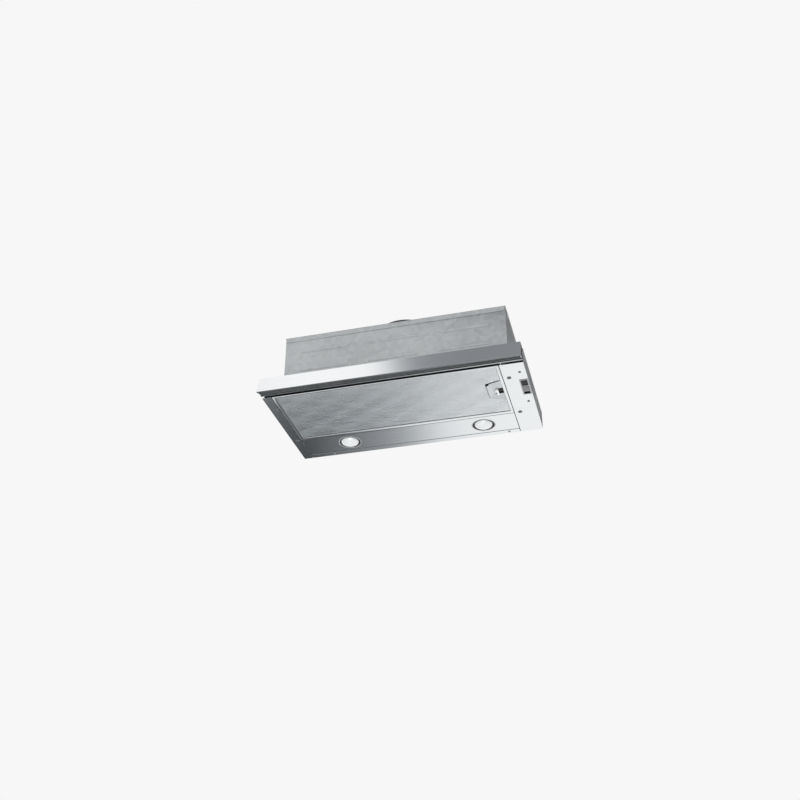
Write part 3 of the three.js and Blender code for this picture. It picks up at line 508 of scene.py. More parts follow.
flap_height, corner_slit, lap_width, lap_gap = in_mm(13, 1.2, 14, 2)
flap_low = lid_high.z - flap_height
side_flaps = ((lid_low.x - wall_sheet, lid_low.x), (lid_high.x, lid_high.x + wall_sheet))
end_flaps = ((lid_low.y - wall_sheet, lid_low.y), (lid_high.y, lid_high.y + wall_sheet))
folds = [
    ((lid_low.x + corner_slit, y0, flap_low), (lid_high.x - corner_slit, y1, lid_low.z))
    for y0, y1 in end_flaps
]
folds += [
    ((x0, lid_low.y + corner_slit, flap_low), (x1, lid_high.y - corner_slit, lid_low.z))
    for x0, x1 in side_flaps
]
folds += [
    ((x0, lid_high.y, flange_top), (x1, lid_high.y + wall_sheet, flap_low - lap_gap))
    for x0, x1 in ((lid_low.x, lid_low.x + lap_width), (lid_high.x - lap_width, lid_high.x))
]
plates("blower_box_folds", folds, zinc, 0.3, "hood", "zinc")
lap_x = (lid_low.x + lap_width / 2, lid_high.x - lap_width / 2)
lap_rivets = seats(back, lap_x, [lid_high.y + wall_sheet], in_mm(15, 60, 105))
grown("blower_box_rivets", rivets, lap_rivets, plated, rivet_size, "hood", "bright")
wall_bead_x, wall_bead_z = in_mm(-165, 0, 165), in_mm(42, 92)
lid_bead_x, lid_bead_y, short_bead_y = in_mm(-178, 178), in_mm(-205, -128.5), -52 * mm
box_beads = seats(forward, wall_bead_x, [lid_low.y], wall_bead_z)
box_beads += seats(back, wall_bead_x, [lid_high.y], wall_bead_z)
box_beads += seats(up, lid_bead_x, lid_bead_y, [lid_high.z])
box_beads += seats(up, lid_bead_x[:1], [short_bead_y], [lid_high.z])
grown("blower_box_beads", beads, box_beads, zinc, bead_size(110, 4.5, 1.3), "hood", "zinc")


slot_reach, slot_rise = 1.25, 1.1


def screw_tree():
    """A dome with a cross cut into it by two bars."""
    tree, sizes = geometry_tree("cross_screws", "Head radius", "Head height", "Slot")
    radius, height, slot = sizes["Head radius"], sizes["Head height"], sizes["Slot"]
    arm = maths(tree, "MULTIPLY", radius, slot_reach)
    above = vector(tree, z=maths(tree, "MULTIPLY", height, slot_rise))
    dome = dome_head(tree, radius, height, 28)
    carved = node(tree, "GeometryNodeMeshBoolean", {0: dome}, operation="DIFFERENCE")
    for x, y in ((arm, slot), (slot, arm)):
        bar = geometry(tree, "MeshCube", {"Size": vector(tree, x, y, height)})
        tree.links.new(moved(tree, bar, Translation=above), carved.inputs[1])
    return on_seats(tree, sizes, carved.outputs[0])


def screw_size(head_radius, head_height, slot):
    return {"Head radius": head_radius * mm, "Head height": head_height * mm, "Slot": slot * mm}


screws = screw_tree()
sheet_screw = screw_size(3.7, 1.9, 1)
flange_screw_x, flange_screw_y = in_mm(-225, -75, 75, 225), in_mm(-235, -45)
flap_screw_x, flap_screw_y = in_mm(-200, 0, 200), in_mm(-225, -50)
flap_screw_z = [flap_low + 6 * mm]
bracket_screw_x, bracket_screw_y = lid_high.x + 1.8 * mm, in_mm(-160, -116)
bracket_screw_z = [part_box("side_bracket_right")[1].z - 12 * mm]
box_screws = seats(up, flange_screw_x, [box_low.y + flange_width / 2], [flange_top])
for hand, facing in both_sides:
    flange_x = hand * (box_high.x - flange_width / 2)
    box_screws += seats(up, [flange_x], flange_screw_y, [flange_top])
    flap_x = hand * (lid_high.x + wall_sheet)
    box_screws += seats(facing, [flap_x], flap_screw_y, flap_screw_z)
    box_screws += seats(facing, [hand * bracket_screw_x], bracket_screw_y, bracket_screw_z)
box_screws += seats(forward, flap_screw_x, [lid_low.y - wall_sheet], flap_screw_z)
box_screws += seats(back, flap_screw_x, [lid_high.y + wall_sheet], flap_screw_z)
grown("blower_box_screws", screws, box_screws, plated, sheet_screw, "hood", "bright")


# ---- Blower ----
# A moulded scroll round a double-inlet wheel on the motor's shaft. The motor is a drawn can with a
# rolled seam, held in a steel band whose three legs are screwed to the scroll's side.
cloud_scale, grain_relief, grain_depth = 30, 0.05, 0.1 * mm


def clouded(name, tones, metallic, roughness, scale, detail=3):
    material, tree, place = surface(name, tones, metallic, roughness)
    patterned(tree, noise(tree, place, scale, detail))
    return material, tree, place


def moulded(name, tones, roughness, grain=900):
    """Plastic, rubber or a lacquered coat: a faint cloud of colour over a fine grain."""
    material, tree, place = clouded(name, tones, 0, roughness, cloud_scale, 4)
    shaded(tree, {"IOR": 1.49})
    raised(tree, noise(tree, place, grain, 2), grain_relief, grain_depth)
    return material


def middle_of(name):
    return [(low + high) / 2 for low, high in zip(*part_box(name))]


def lathe(name, profile, centre, material, body, slot, *stands_for, axis=2, steps=72):
    """A finished piece turned round the axis through centre, from pairs of radius and place along
    the axis. The profile's ends close on themselves or lie on the axis."""
    first, second = [other for other in range(3) if other != axis]
    shape = bmesh.new()
    rings = []
    for radius, along in profile:
        ring = []
        for i in range(steps if radius > 0 else 1):
            turn = 2 * pi * i / steps
            place = list(centre)
            place[axis] = along
            place[first] += radius * cos(turn)
            place[second] += radius * sin(turn)
            ring.append(shape.verts.new(place))
        rings.append(ring)
    pairs = list(zip(rings, rings[1:])) + ([] if len(rings[0]) == 1 else [(rings[-1], rings[0])])
    for here, there in pairs:
        for i in range(steps):
            k, m, n = (i + 1) % steps, len(here), len(there)
            corners = (here[i % m], there[i % n], there[k % n], here[k % m])
            shape.faces.new(list(dict.fromkeys(corners)))
    bmesh.ops.recalc_face_normals(shape, faces=shape.faces)
    made(name, shape, [material], 0, body, slot, *stands_for)


black = moulded(
    "black_moulding", [(0.016, 0.017, 0.018), (0.028, 0.029, 0.030)], (0.38, 0.52))
white = moulded("white_moulding", [(0.74, 0.74, 0.72), (0.82, 0.82, 0.80)], (0.35, 0.48))
mid_grey = moulded("grey_moulding", [(0.24, 0.25, 0.25), (0.31, 0.32, 0.32)], (0.34, 0.46))
bright_steel = galvanised(
    "bright_steel", [(0.72, 0.73, 0.74), (0.80, 0.81, 0.82)], 60, (0.14, 0.24))
eased_copy("blower_scroll", black, edge=0.4)
eased_copy("impeller", zinc, edge=0)
motor_low, motor_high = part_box("motor")
motor_middle = middle_of("motor")
can_radius, bore_end = (motor_high.z - motor_low.z) / 2, motor_high.x - 20 * mm
shaft_bore, seam_half, seam_flat, seam_depth = in_mm(4.3, 4, 3.4, 0.8)
can_end = [in_mm(*point) for point in ((11, 0), (12, 1.2), (29, 2.4), (34, 3.6), (37, 6.4))]
can_end.append((can_radius, 9.5 * mm))
seam = [
    (can_radius, motor_middle[0] - seam_half),
    (can_radius - seam_depth, motor_middle[0] - seam_flat),
]
seam += [(radius, 2 * motor_middle[0] - along) for radius, along in reversed(seam)]
motor_profile = [(0, motor_low.x)] + [(radius, motor_low.x + depth) for radius, depth in can_end]
motor_profile += seam + [(radius, motor_high.x - depth) for radius, depth in reversed(can_end)]
motor_profile += [(shaft_bore, motor_high.x), (shaft_bore, bore_end), (0, bore_end)]
lathe("motor_can", motor_profile, motor_middle, zinc, "hood", "zinc", "motor", axis=0)
eased_copy("motor_shaft", bright_steel, edge=0.4)
eased_copy("motor_bracket", zinc)


# ---- Outlet ----
# A black moulded collar takes the round duct: a flange screwed to the lid, thin ribs up to the pipe
# and a bead that holds the duct's clamp. Two ribbed half-round flaps hang on a steel pin across it.
def gusset_tree():
    """Three-cornered ribs that stand on the flange and run up the pipe."""
    tree, sizes = geometry_tree("collar_ribs", "Reach", "Height", "Thickness")
    size = vector(tree, sizes["Thickness"], sizes["Thickness"], sizes["Thickness"])
    corner = geometry(tree, "MeshCube", {"Size": size})
    places = (vector(tree), vector(tree, x=sizes["Reach"]), vector(tree, z=sizes["Height"]))
    rib = hull(tree, [moved(tree, corner, Translation=place) for place in places])
    return on_seats(tree, sizes, rib, "X")


def outline(*rows):
    """A profile from rows of a radius and what widens it, a height and what lifts it, in mm."""
    return [(radius + more * mm, height + lift * mm) for radius, more, height, lift in rows]


collar_low, collar_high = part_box("outlet_collar")
collar_centre = middle_of("outlet_collar")
brim, pipe, bore = collar_high.x, collar_high.x - 12 * mm, collar_high.x - 14.5 * mm
foot, ledge, top = collar_low.z, collar_low.z + 4 * mm, collar_high.z
collar_profile = outline(
    (bore, 0, foot, 0), (brim, -0.5, foot, 0), (brim, 0, foot, 0.5), (brim, 0, foot, 2.4),
    (brim, -0.6, foot, 3), (pipe, 2, foot, 3), (pipe, 0.5, foot, 3.6), (pipe, 0, foot, 5),
    (pipe, 0, foot, 30), (pipe, 1, foot, 31), (pipe, 1, foot, 32.4), (pipe, 0, foot, 33.4),
    (pipe, -0.5, top, -0.6), (pipe, -1.1, top, 0), (bore, 0.5, top, 0), (bore, 0, top, -0.5),
    (bore, 0, ledge, 2.3), (bore, -6, ledge, 2.3), (bore, -6, ledge, 0), (bore, 0, ledge, 0),
)
lathe("outlet_collar_moulding", collar_profile, collar_centre, black,
      "hood", "black_plastic", "outlet_collar", steps=128)


def round_collar(radius, z, count, start):
    """Seats spread round the collar, facing away from its axis."""
    turns = [radians(start + 360 * i / count) for i in range(count)]
    return [
        ((radius * cos(turn), collar_centre[1] + radius * sin(turn), z),
         (cos(turn), sin(turn), 0)) for turn in turns
    ]


collar_rib_size = {"Reach": 8.5 * mm, "Height": 13 * mm, "Thickness": 1.6 * mm}
collar_ribs = round_collar(pipe - 0.8 * mm, foot + 2.8 * mm, 12, 15)
grown("collar_ribs", gusset_tree(), collar_ribs, black, collar_rib_size,
      "hood", "black_plastic")
screw_ring = round_collar(brim - 5.4 * mm, foot + 3 * mm, 6, 0)
collar_screws = [(place, up) for place, _ in screw_ring]
grown("collar_screws", screws, collar_screws, plated, sheet_screw, "hood", "bright")
eased_copy("damper_pin", bright_steel)
pin_middle = middle_of("damper_pin")
flap_ribs, knuckle_places, knuckle_length = ((14, 116), (32, 104), (50, 78)), (-52, -12, 40), 7
for side, out, shift in (("front", -1, 0), ("rear", 1, 9)):
    eased_copy(f"damper_flap_{side}", black)
    flap_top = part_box(f"damper_flap_{side}")[1].z
    for reach, length in flap_ribs:
        seat = ((0, pin_middle[1] + out * reach * mm, flap_top), up)
        grown(f"flap_rib_{side}_{reach}", beads, [seat], black, bead_size(length, 1.1, 1.4),
              f"flap_{side}", "black_plastic")
    for x in knuckle_places:
        start = (x + shift) * mm
        rows = [(0, radius, start, along) for radius, along in (
            (1.6, 0), (2.7, 0), (2.7, knuckle_length), (1.6, knuckle_length))]
        lathe(f"flap_knuckle_{side}_{x}", outline(*rows), pin_middle, black,
              f"flap_{side}", "black_plastic", axis=0, steps=32)


# ---- Electrics ----
# A moulded gland with a six-sided nut passes the lead into the terminal box at the box's right rear
# corner. The lamp transformer stands in front of it, the motor's capacitor hangs on the left wall.
gland_low, gland_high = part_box("cable_gland")
gland_middle = middle_of("cable_gland")
gland_foot, nut_top, gland_top = gland_low.z + 1.3 * mm, gland_low.z + 6.3 * mm, gland_high.z
gland_profile = outline(
    (0, 4, gland_low.z, 0), (0, 9, gland_low.z, 0), (0, 9, gland_foot, 0), (0, 10.6, gland_foot, 0),
    (0, 10.6, nut_top, 0.8), (0, 9.4, nut_top, 1.2), (0, 9.4, nut_top, 7.5),
    (0, 8.6, nut_top, 9.8), (0, 6.8, gland_top, 0), (0, 5, gland_top, 0), (0, 4, gland_top, -1),
)
nut_profile = outline(
    (0, 10, gland_foot, 0), (0, 11.4, gland_foot, 0), (0, 11.9, gland_foot, 0.6),
    (0, 11.9, nut_top, -0.6), (0, 11.4, nut_top, 0), (0, 10, nut_top, 0),
)
lathe("cable_gland_moulding", gland_profile, gland_middle, black,
      "hood", "black_plastic", "cable_gland", steps=48)
lathe("cable_gland_nut", nut_profile, gland_middle, black, "hood", "black_plastic", steps=6)
eased_copy("terminal_box", white, edge=0.8)
varnish = moulded("varnished_steel", [(0.10, 0.10, 0.11), (0.16, 0.16, 0.17)], (0.3, 0.42))
eased_copy("transformer", varnish, edge=0.5)
capacitor_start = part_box("capacitor")[0].y
capacitor_profile = outline(*[(0, radius, capacitor_start, along) for radius, along in (
    (0, 1.2), (5, 1.2), (5.4, 0), (13, 0), (14, 1), (14, 46), (13.2, 46.6), (13.2, 47.4),
    (14, 48), (14, 49), (13, 50), (0, 50),
)])
lathe("capacitor_can", capacitor_profile, middle_of("capacitor"), white,
      "hood", "white_plastic", "capacitor", axis=1, steps=48)
eased_copy("microswitch", black)


# ---- Underside ----
# Brushed stainless strips left and right, the lamp panel and the trim behind it, all brushed across
# the hood. Their edges stand a little apart, so that dark seams run between them.
along_scratch, smear_share, smear_scale, scratch_depth = 7, 0.4, 11, 0.05 * mm


def brushed(name, tones, roughness, lines=900, relief=0.10):
    """Stainless steel with fine scratches along x, and a soft smear in its sheen."""
    material, tree, place = surface(name, tones, 1, roughness)
    scale = (along_scratch, lines, lines)
    drawn = result(tree, "ShaderNodeMapping", {"Vector": place, "Scale": scale})
    scratches = noise(tree, drawn, 1, 4)
    smear = noise(tree, place, smear_scale, 2)
    patterned(tree, scratches, blended(tree, smear_share, scratches, smear))
    raised(tree, scratches, relief, scratch_depth)
    return material


underside = -44 * mm
steel = brushed("brushed_stainless", [(0.77, 0.79, 0.80), (0.83, 0.85, 0.86)], (0.07, 0.12))
seam_set_back = 0.7 * mm
eased_copy("left_strip", steel, edge=0.55)
eased_copy("control_strip", steel)
eased_copy("lamp_panel", steel, inset=seam_set_back, sides=(left_side, right_side, rear_side))
eased_copy("rear_trim", steel, inset=seam_set_back, sides=(left_side, right_side, front_side))


# ---- Underside screws ----
# Pan-head screws with a cross recess hold the strips and the trim. Those of the strips and the
# switch are blackened.
blackened = galvanised(
    "blackened_steel", [(0.16, 0.16, 0.17), (0.25, 0.25, 0.26)], 300, (0.3, 0.42))
passivated = galvanised(
    "passivated_steel", [(0.30, 0.31, 0.32), (0.38, 0.39, 0.40)], 300, (0.25, 0.36))
seated_z, trim_screw_z, trim_screw_x = underside - 0.3 * mm, underside - 0.1 * mm, in_mm(-219, 219)
for kind, ends, size in (
    ("strip", ("left_front", "left_rear", "right_front", "right_rear"), screw_size(5, 1.6, 1.2)),
    ("switch", ("front", "rear"), screw_size(3, 1.5, 0.9)),
):
    nodes = [f"{kind}_screw_{end}" for end in ends]
    places = [((*middle_of(name)[:2], seated_z), down) for name in nodes]
    grown(f"{kind}_screw_heads", screws, places, blackened, size, "hood", "bright", *nodes)
places = seats(down, trim_screw_x, [middle_of("rear_trim")[1]], [trim_screw_z])
grown("trim_screw_heads", screws, places, passivated, screw_size(3, 1.4, 0.9), "hood", "bright")


# ---- Lamps ----
# Each lamp is a pressed cup let into the panel, with a halogen capsule in its ceiling. A bright trim
# ring holds a bowed, frosted glass in a black gasket, whose width and near-black tone are partly
# painted shade of the hole round the glass.
haze_scale, haze_tones = 80, [(0.84, 0.86, 0.88), (0.95, 0.96, 0.97)]


def lamp_glass(name, emission):
    """Hazy glass that glows a little."""
    material, tree, place = clouded(name, haze_tones, 0, (0.10, 0.24), haze_scale)
    shaded(tree, {
        "Transmission Weight": 0.3, "IOR": 1.46,
        "Emission Color": (1, 0.99, 0.97, 1), "Emission Strength": emission,
    })
    return material


lens_glass, bulb_glass = lamp_glass("lens_glass", 0.13), lamp_glass("bulb_glass", 1.5)
cup_metal = galvanised("pressed_cup", [(0.62, 0.63, 0.64), (0.70, 0.71, 0.72)], 90, (0.2, 0.3))
# The gasket is real rubber, but its near-black tone and its width paint the shade in the hole round
# the glass.
gasket_shade_rubber = moulded(
    "gasket_shade_rubber", [(0.010, 0.010, 0.011), (0.018, 0.018, 0.019)], (0.45, 0.6))
glass_radius, glass_bulge, glass_wall, glass_seat = in_mm(21, 8.3, 1.6, 1.4)
gasket_radius, trim_radius, trim_crown = in_mm(26.0, 27.4, 0.25)
arc_steps = 24
seated, crown_z = underside + glass_seat, underside - trim_crown
inner_radius, inner_bulge = glass_radius - glass_wall, glass_bulge - glass_wall


def bowed(radius, bulge):
    """Half the section of a bowed face, from its middle out."""
    arc = [pi / 2 * i / arc_steps for i in range(arc_steps + 1)]
    return [(radius * sin(turn), seated - bulge * cos(turn)) for turn in arc]


rim_z = seated + glass_wall
glass_profile = bowed(glass_radius, glass_bulge) + [(glass_radius, rim_z), (inner_radius, rim_z)]
glass_profile += bowed(inner_radius, inner_bulge)[::-1]
gasket_profile = outline(
    (glass_radius, 0, seated, 0), (glass_radius, 0.8, seated, -0.3),
    (gasket_radius, 0, underside, -0.05), (gasket_radius, 0, seated, 2.2),
    (glass_radius, 0, seated, 2.2),
)
ring_profile = outline(
    (gasket_radius, 0, underside - trim_crown / 2, 0), (gasket_radius, 0.5, crown_z, 0),
    (trim_radius, -0.8, crown_z, 0), (trim_radius, 0, underside, 0.2),
    (trim_radius, 0, underside, 2), (gasket_radius, 0, underside, 2),
)
for side in ("left", "right"):
    lens = f"lamp_lens_{side}"
    middle = middle_of(lens)
    lathe(f"lamp_glass_{side}", glass_profile, middle, lens_glass, "hood", "glass", lens)
    lathe(f"lamp_gasket_{side}", gasket_profile, middle, gasket_shade_rubber, "hood", "black_plastic")
    lathe(f"lamp_trim_{side}", ring_profile, middle, steel, "hood", "bright")
    eased_copy(f"lamp_housing_{side}", cup_metal, edge=0.25)
    eased_copy(f"lamp_bulb_{side}", bulb_glass)


# ---- Slide switch ----
# A black module in a pale bezel, with a short light slider and a longer grey speed slider. Both
# sliders are gripped by grooves across their faces, and the light slider has a white tip.
def module_coat(normal, middle):
    return pale_plastic if middle.z < underside - 0.2 * mm else black


def slider_coat(normal, middle):
    return white if middle.y > white_start else black


pale_plastic = moulded("pale_bezel", [(0.46, 0.47, 0.48), (0.54, 0.55, 0.56)], (0.3, 0.4))
white_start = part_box("light_slider")[1].y - 1.6 * mm
eased_copy("switch_body", black, pale_plastic, edge=0.25, coat=module_coat,
           called="switch_module")
eased_copy("light_slider", black, white, edge=0.25, coat=slider_coat)
eased_copy("speed_slider", mid_grey, edge=0.25)


# ---- Grease filter ----
# Layers of expanded aluminium in a frame of folded steel channel, with a groove along their rear
# edge. The lowest layer is the finest. The frame hinges on two tabs at its left.
flat_down = radians(-90)
strand_overlap = 0.8


def expanded_tree():
    """Rows of zigzag strands that touch at their tips, left out where the finger pocket is."""
    tree, sizes = geometry_tree(
        "expanded_metal", "Width", "Depth", "Cell width", "Cell depth", "Strand",
        "Hole left", "Hole right", "Hole middle", "Hole far half", "Hole near half",
    )

    def calc(operation, first, second=0.0):
        return maths(tree, operation, first, second)

    def line_of(count, step):
        return geometry(tree, "MeshLine", {"Count": count, "Offset": step})

    cell_width, cell_depth, strand = sizes["Cell width"], sizes["Cell depth"], sizes["Strand"]
    columns = calc("ADD", calc("FLOOR", calc("DIVIDE", sizes["Width"], cell_width)), 1)
    rows = calc("FLOOR", calc("DIVIDE", sizes["Depth"], cell_depth))
    row = line_of(columns, vector(tree, x=cell_width))
    starts = line_of(rows, vector(tree, y=cell_depth))
    starts = realized(tree, copied(tree, sizes["Points"], starts))
    grid = realized(tree, copied(tree, starts, row))

    index = geometry(tree, "InputIndex")
    line = calc("FLOOR", calc("DIVIDE", calc("ADD", index, 0.5), columns))
    column = calc("SUBTRACT", index, calc("MULTIPLY", line, columns))
    odd = calc("FLOORED_MODULO", calc("ADD", line, column), 2.0)
    gap = calc("SUBTRACT", cell_depth, calc("MULTIPLY", strand, strand_overlap))
    swing = vector(tree, y=calc("MULTIPLY", calc("SUBTRACT", odd, 0.5), gap))
    bent = geometry(tree, "SetPosition", {"Geometry": grid, "Offset": swing})

    place = geometry(tree, "InputPosition")
    x, y = node(tree, "ShaderNodeSeparateXYZ", {0: place}).outputs[:2]
    run = calc("SUBTRACT", x, sizes["Hole left"])
    share = calc("DIVIDE", run, calc("SUBTRACT", sizes["Hole right"], sizes["Hole left"]))
    spread = calc("SUBTRACT", sizes["Hole near half"], sizes["Hole far half"])
    half = calc("ADD", sizes["Hole far half"], calc("MULTIPLY", share, spread))
    off = calc("ABSOLUTE", calc("SUBTRACT", y, sizes["Hole middle"]))
    inside = calc("MULTIPLY", calc("GREATER_THAN", run, 0.0), calc("LESS_THAN", off, half))
    kept = geometry(tree, "DeleteGeometry", {"Geometry": bent, "Selection": inside})

    strands = geometry(tree, "MeshToCurve", {"Mesh": kept})
    strands = geometry(tree, "SetCurveNormal", {"Curve": strands}, mode="Z_UP")
    about_z = {"Axis": (0, 0, 1), "Angle": flat_down}
    turn = result(tree, "FunctionNodeAxisAngleToRotation", about_z)
    three_sided = {"Resolution": 3, "Radius": strand}
    section = geometry(tree, "CurvePrimitiveCircle", three_sided)
    return closed_tree(tree, sizes, geometry(tree, "CurveToMesh", {
        "Curve": strands, "Profile Curve": moved(tree, section, Rotation=turn), "Fill Caps": True,
    }))


expanded = expanded_tree()
strand_tones, strand_roughness = [(0.91, 0.94, 0.96), (0.95, 0.98, 0.995)], (0.165, 0.215)
aluminium = clouded("expanded_aluminium", strand_tones, 1, strand_roughness, 260, 2)[0]
filter_low, filter_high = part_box("filter_frame")
skin_low, skin_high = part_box("filter_skin")
pack_low, pack_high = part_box("filter_mesh")
pocket_low, pocket_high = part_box("latch_pocket")
pocket_middle = (pocket_low.y + pocket_high.y) / 2
pocket_far_half, pocket_near_half, edge_gap = in_mm(31, 41, 0.3)
pocket_hole = {
    "Hole left": pocket_low.x, "Hole right": pocket_high.x, "Hole middle": pocket_middle,
    "Hole far half": pocket_far_half, "Hole near half": pocket_near_half,
}


def expanded_layer(name, low, high, z, cell, strand, hole, body, *stands_for):
    """One sheet of expanded metal, its cells stretched a little to fill its width and depth."""
    width, depth = high.x - low.x - 2 * edge_gap, high.y - low.y - 2 * edge_gap
    cell_width = width / round(width / (cell[0] * mm))
    cell_depth = depth / round(depth / (cell[1] * mm))
    start = ((low.x + edge_gap, low.y + edge_gap + cell_depth / 2, z), down)
    grown(name, expanded, [start], aluminium, {
        "Width": width + cell_width / 4, "Depth": depth + cell_depth / 4,
        "Cell width": cell_width, "Cell depth": cell_depth, "Strand": strand, **hole,
    }, body, "mesh", *stands_for)


def expanded_stack(name, low, high, cells, hole, body, stands_for):
    """Sheets spread through the height of a pack, which the first of them stands for."""
    for i, cell in enumerate(cells):
        z = low.z + (i + 0.5) * (high.z - low.z) / len(cells)
        expanded_layer(f"{name}_{i + 1}", low, high, z, cell, coarse_strand, hole, body,
                       *([stands_for] if i == 0 else []))


rear_groove = Vector((0, 2.2 * mm, 0))
fine_cell, coarse_cells = (2.4, 1.38), ((4.6, 2.9), (5.0, 3.2), (5.4, 3.5))
fine_rise, fine_strand, coarse_strand = in_mm(0.5, 0.56, 0.6)
expanded_layer("fine_filter_layer", skin_low, skin_high - rear_groove, skin_low.z + fine_rise,
               fine_cell, fine_strand, pocket_hole, "filter", "filter_skin")
expanded_stack("coarse_filter_layer", pack_low, pack_high - rear_groove, coarse_cells,
               pocket_hole, "filter", "filter_mesh")

crown, edge_reach = 0.5 * mm, 0.01 * mm
shape = merged("filter_frame")
long_edges = [
    edge for edge in shape.edges
    if all(abs(vertex.co.z - filter_low.z) < edge_reach for vertex in edge.verts)
    and len(edge.link_faces) == 2 and edge.calc_face_angle(0) > 1
]
bmesh.ops.bevel(shape, geom=long_edges, offset=crown, segments=5, profile=0.5, affect="EDGES")
made("filter_channel_frame", shape, [steel], 0.2, "filter", "steel", "filter_frame")


# ---- Finger pocket and latch ----
# The pocket is pressed into a steel tray that dips smoothly from the filter's face and is sheared
# open along its front. A sprung slider with a rib for the finger shoots its nose to the right.
tray_steel = galvanised(
    "satin_tray", [(0.66, 0.68, 0.69), (0.72, 0.74, 0.75)], 300, (0.26, 0.34), 1)
rib_steel = galvanised(
    "polished_rib", [(0.90, 0.91, 0.92), (0.95, 0.95, 0.96)], 60, (0.10, 0.16), 1)
pocket_depth, pocket_wall, pocket_slit, dip_width = in_mm(4.5, 0.6, 10.5, 10)
rim, rim_drop, window_reach, window_margin, window_gap = in_mm(1.8, 0.25, 21.1, 1.1, 0.5)
latch_low, latch_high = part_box("filter_latch")
window_x = (pocket_high.x - window_reach, pocket_high.x - window_margin)
window_y = (latch_low.y - window_gap, latch_high.y + window_gap)
tray_rows, left_columns, window_columns = (12, 12, 16), 14, 18


def divided(start, end, count):
    """The places that divide a stretch evenly, up to its end."""
    return [start + (end - start) * i / count for i in range(1, count + 1)]


def pocket_column(x):
    """The points of the tray's face along one line from the slit in front to the rear edge."""
    share = (x - pocket_low.x) / (pocket_high.x - pocket_low.x)
    half = pocket_far_half + share * (pocket_near_half - pocket_far_half)
    rear = pocket_middle + half
    bends = (pocket_middle - half + pocket_slit, *window_y, rear + rim)
    along = [bends[0]]
    for start, end, count in zip(bends, bends[1:], tray_rows):
        along += divided(start, end, count)
    points = []
    for y in along:
        rise = min(1, max(0, min(x - pocket_low.x, rear - y) / dip_width))
        dip = (pocket_depth + rim_drop) * rise * rise * (3 - 2 * rise)
        points.append(Vector((x, y, skin_low.z - rim_drop + dip)))
    return points


across = [pocket_low.x - rim, pocket_low.x, *divided(pocket_low.x, window_x[0], left_columns),
          *divided(*window_x, window_columns), pocket_high.x]
shape = bmesh.new()
grid = [[shape.verts.new(point) for point in pocket_column(x)] for x in across]
for i in range(len(grid) - 1):
    for j in range(len(grid[0]) - 1):
        beside = not left_columns < i <= left_columns + window_columns
        if beside or not tray_rows[0] <= j < tray_rows[0] + tray_rows[1]:
            shape.faces.new((grid[i][j], grid[i][j + 1], grid[i + 1][j + 1], grid[i + 1][j]))
loose = [vertex for vertex in shape.verts if not vertex.link_faces]
bmesh.ops.delete(shape, geom=loose, context="VERTS")
tray = made("finger_pocket_tray", shape, [tray_steel], 0, "filter", "steel", "latch_pocket")
wall = tray.modifiers.new("sheet", "SOLIDIFY")
wall.thickness = pocket_wall
wall.offset = -1

rib_face, rib_added, rib_reach = window_x[0] + 8.3 * mm, 1.6 * mm, 0.4 * mm
rib_end = rib_face + rib_added + 0.1 * mm


def latch_coat(normal, middle):
    return black if middle.x > rib_end else rib_steel


eased_copy("filter_latch", rib_steel, black, edge=0.35, reach=rib_reach,
           moves=[(0, rib_face, rib_added)], coat=latch_coat, called="filter_latch_slider")
cap_drop, cap_wall, cap_left, cap_front, cap_rear = in_mm(0.15, 0.7, 7, 1.6, 9)
cap_top = filter_high.z - cap_drop
cap_corners = (
    (window_x[0] - cap_left, window_y[0] - cap_front, cap_top - cap_wall),
    (pocket_high.x, window_y[1] + cap_rear, cap_top),
)
plates("latch_cap", [cap_corners], black, 0.2, "filter", "black_plastic")


# ---- Drawer ----
# A galvanised frame behind the fascia, with a second layered filter resting on its ledges. Its front
# beam is lacquered near black and its front face is darker zinc, both painted shade, and a darker
# stainless strip along its underside paints the highlight of its lower edge.
# Near-black lacquer on the beam paints the shade of the gap behind the fascia.
painted_shade_lacquer = moulded(
    "beam_painted_shade_lacquer", [(0.012, 0.013, 0.014), (0.022, 0.023, 0.024)], (0.5, 0.62), 400)
shaded(painted_shade_lacquer.node_tree, {"Specular IOR Level": 0.25})
# A darker copy of the zinc for the fascia's inner faces and the beam's front: painted shade of the
# recess.
recess_painted_shade_zinc = galvanised(
    "recess_painted_shade_zinc", [(0.31, 0.33, 0.34), (0.38, 0.40, 0.41)], 140, (0.42, 0.54), 0.4)
# A darker copy of the stainless for the strip under the beam: a painted highlight line at its lower
# edge, dimmed by painted shade.
strip_highlight_steel = brushed("highlight_strip_stainless", [(0.40, 0.42, 0.43), (0.46, 0.48, 0.49)], (0.10, 0.16))
beam_low, beam_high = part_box("drawer_frame")
beam_depth, strip_front, strip_rear, strip_sheet, strip_gap = in_mm(8.1, 2.6, 6.6, 0.5, 0.02)


def beam_coat(normal, middle):
    """Zinc behind the beam; lacquer on the beam and darker zinc on its front, both painted shade."""
    if middle.y > beam_low.y + beam_depth:
        return zinc
    return recess_painted_shade_zinc if normal.y < -0.5 else painted_shade_lacquer


eased_copy("drawer_frame", zinc, painted_shade_lacquer, recess_painted_shade_zinc, coat=beam_coat)
strip_corners = (
    (beam_low.x, beam_low.y + strip_front, beam_low.z - strip_sheet),
    (beam_high.x, beam_low.y + strip_rear, beam_low.z - strip_gap),
)
plates("beam_highlight_strip", [strip_corners], strip_highlight_steel, 0.15, "drawer", "steel")
mesh_low, mesh_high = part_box("drawer_filter_mesh")
no_hole = dict.fromkeys(pocket_hole, 1.0)
expanded_stack("drawer_filter_layer", mesh_low, mesh_high, 3 * ((4.4, 2.7),), no_hole,
               "drawer", "drawer_filter_mesh")
eased_copy("drawer_filter_frame", steel, edge=0.8)
eased_copy("drawer_filter_latch", black, edge=0.5)


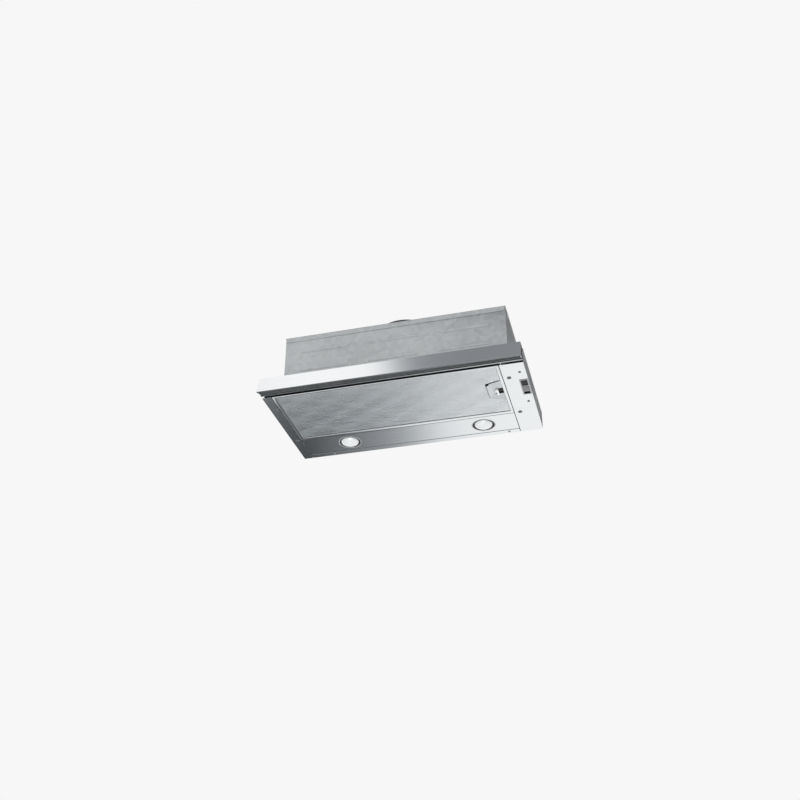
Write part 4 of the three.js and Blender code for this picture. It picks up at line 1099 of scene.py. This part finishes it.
# ---- Runners ----
# Rolled three-part telescopic runners. The outer rail is riveted to the case, the inner one to the
# drawer, and two rows of steel balls run in the middle one.
def ball_tree():
    """A row of balls from each point."""
    tree, sizes = geometry_tree("runner_balls", "Count", "Pitch", "Radius")
    line = geometry(tree, "MeshLine", {
        "Count": result(tree, "FunctionNodeFloatToInt", {0: sizes["Count"]}),
        "Offset": vector(tree, y=sizes["Pitch"]),
    })
    places = realized(tree, copied(tree, sizes["Points"], line))
    round_shape = {"Radius": sizes["Radius"], "Subdivisions": 2}
    ball = geometry(tree, "MeshIcoSphere", round_shape)
    return closed_tree(tree, sizes, copied(tree, places, ball))


balls = ball_tree()
ball_size = {"Count": 20, "Pitch": 10 * mm, "Radius": 0.7 * mm}
race_inward, race_start, race_inset = in_mm(0.6, 8, 0.75)
for side, hand in (("left", -1), ("right", 1)):
    eased_copy(f"runner_outer_{side}", zinc, edge=0.35)
    eased_copy(f"runner_middle_{side}", zinc)
    eased_copy(f"runner_inner_{side}", bright_steel, edge=0.4)
    low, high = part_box(f"runner_middle_{side}")
    race_x = (low.x + high.x) / 2 - hand * race_inward
    races = seats(up, [race_x], [low.y + race_start], (low.z + race_inset, high.z - race_inset))
    grown(f"runner_balls_{side}", balls, races, bright_steel, ball_size, "runner_middles", "bright")


# ---- Fascia ----
# One brushed stainless sheet folded back along its top and bottom, leaning out at the bottom so
# that the hand can pull it. A folded cheek closes each end.
# The lip's underside gets this darker copy of the stainless: painted shade.
lip_painted_shade_steel = brushed("painted_shade_stainless", [(0.20, 0.21, 0.22), (0.26, 0.27, 0.28)], (0.16, 0.24))
front_steel = brushed(
    "fascia_stainless", [(0.79, 0.80, 0.81), (0.84, 0.85, 0.86)], (0.06, 0.10), 700, 0.08)
fascia_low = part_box("fascia")[0]
lip_end, lip_cut, lip_sheet = fascia_low.y + 8 * mm, 2.6 * mm, 0.5 * mm


def fascia_coat(normal, middle):
    """Painted shade: dark steel under the lip, darker zinc on the rest. The front and top are
    polished.
    """
    if normal.z < -0.5 and middle.z < fascia_low.z + lip_sheet:
        return lip_painted_shade_steel
    return front_steel if normal.y < -0.5 or normal.z > 0.5 else recess_painted_shade_zinc


eased_copy("fascia", front_steel, recess_painted_shade_zinc, lip_painted_shade_steel, edge=0.45, segments=3,
           moves=[(1, lip_end, -lip_cut)], coat=fascia_coat, called="fascia_sheet")
for side in ("left", "right"):
    eased_copy(f"fascia_cap_{side}", steel, edge=0.4)
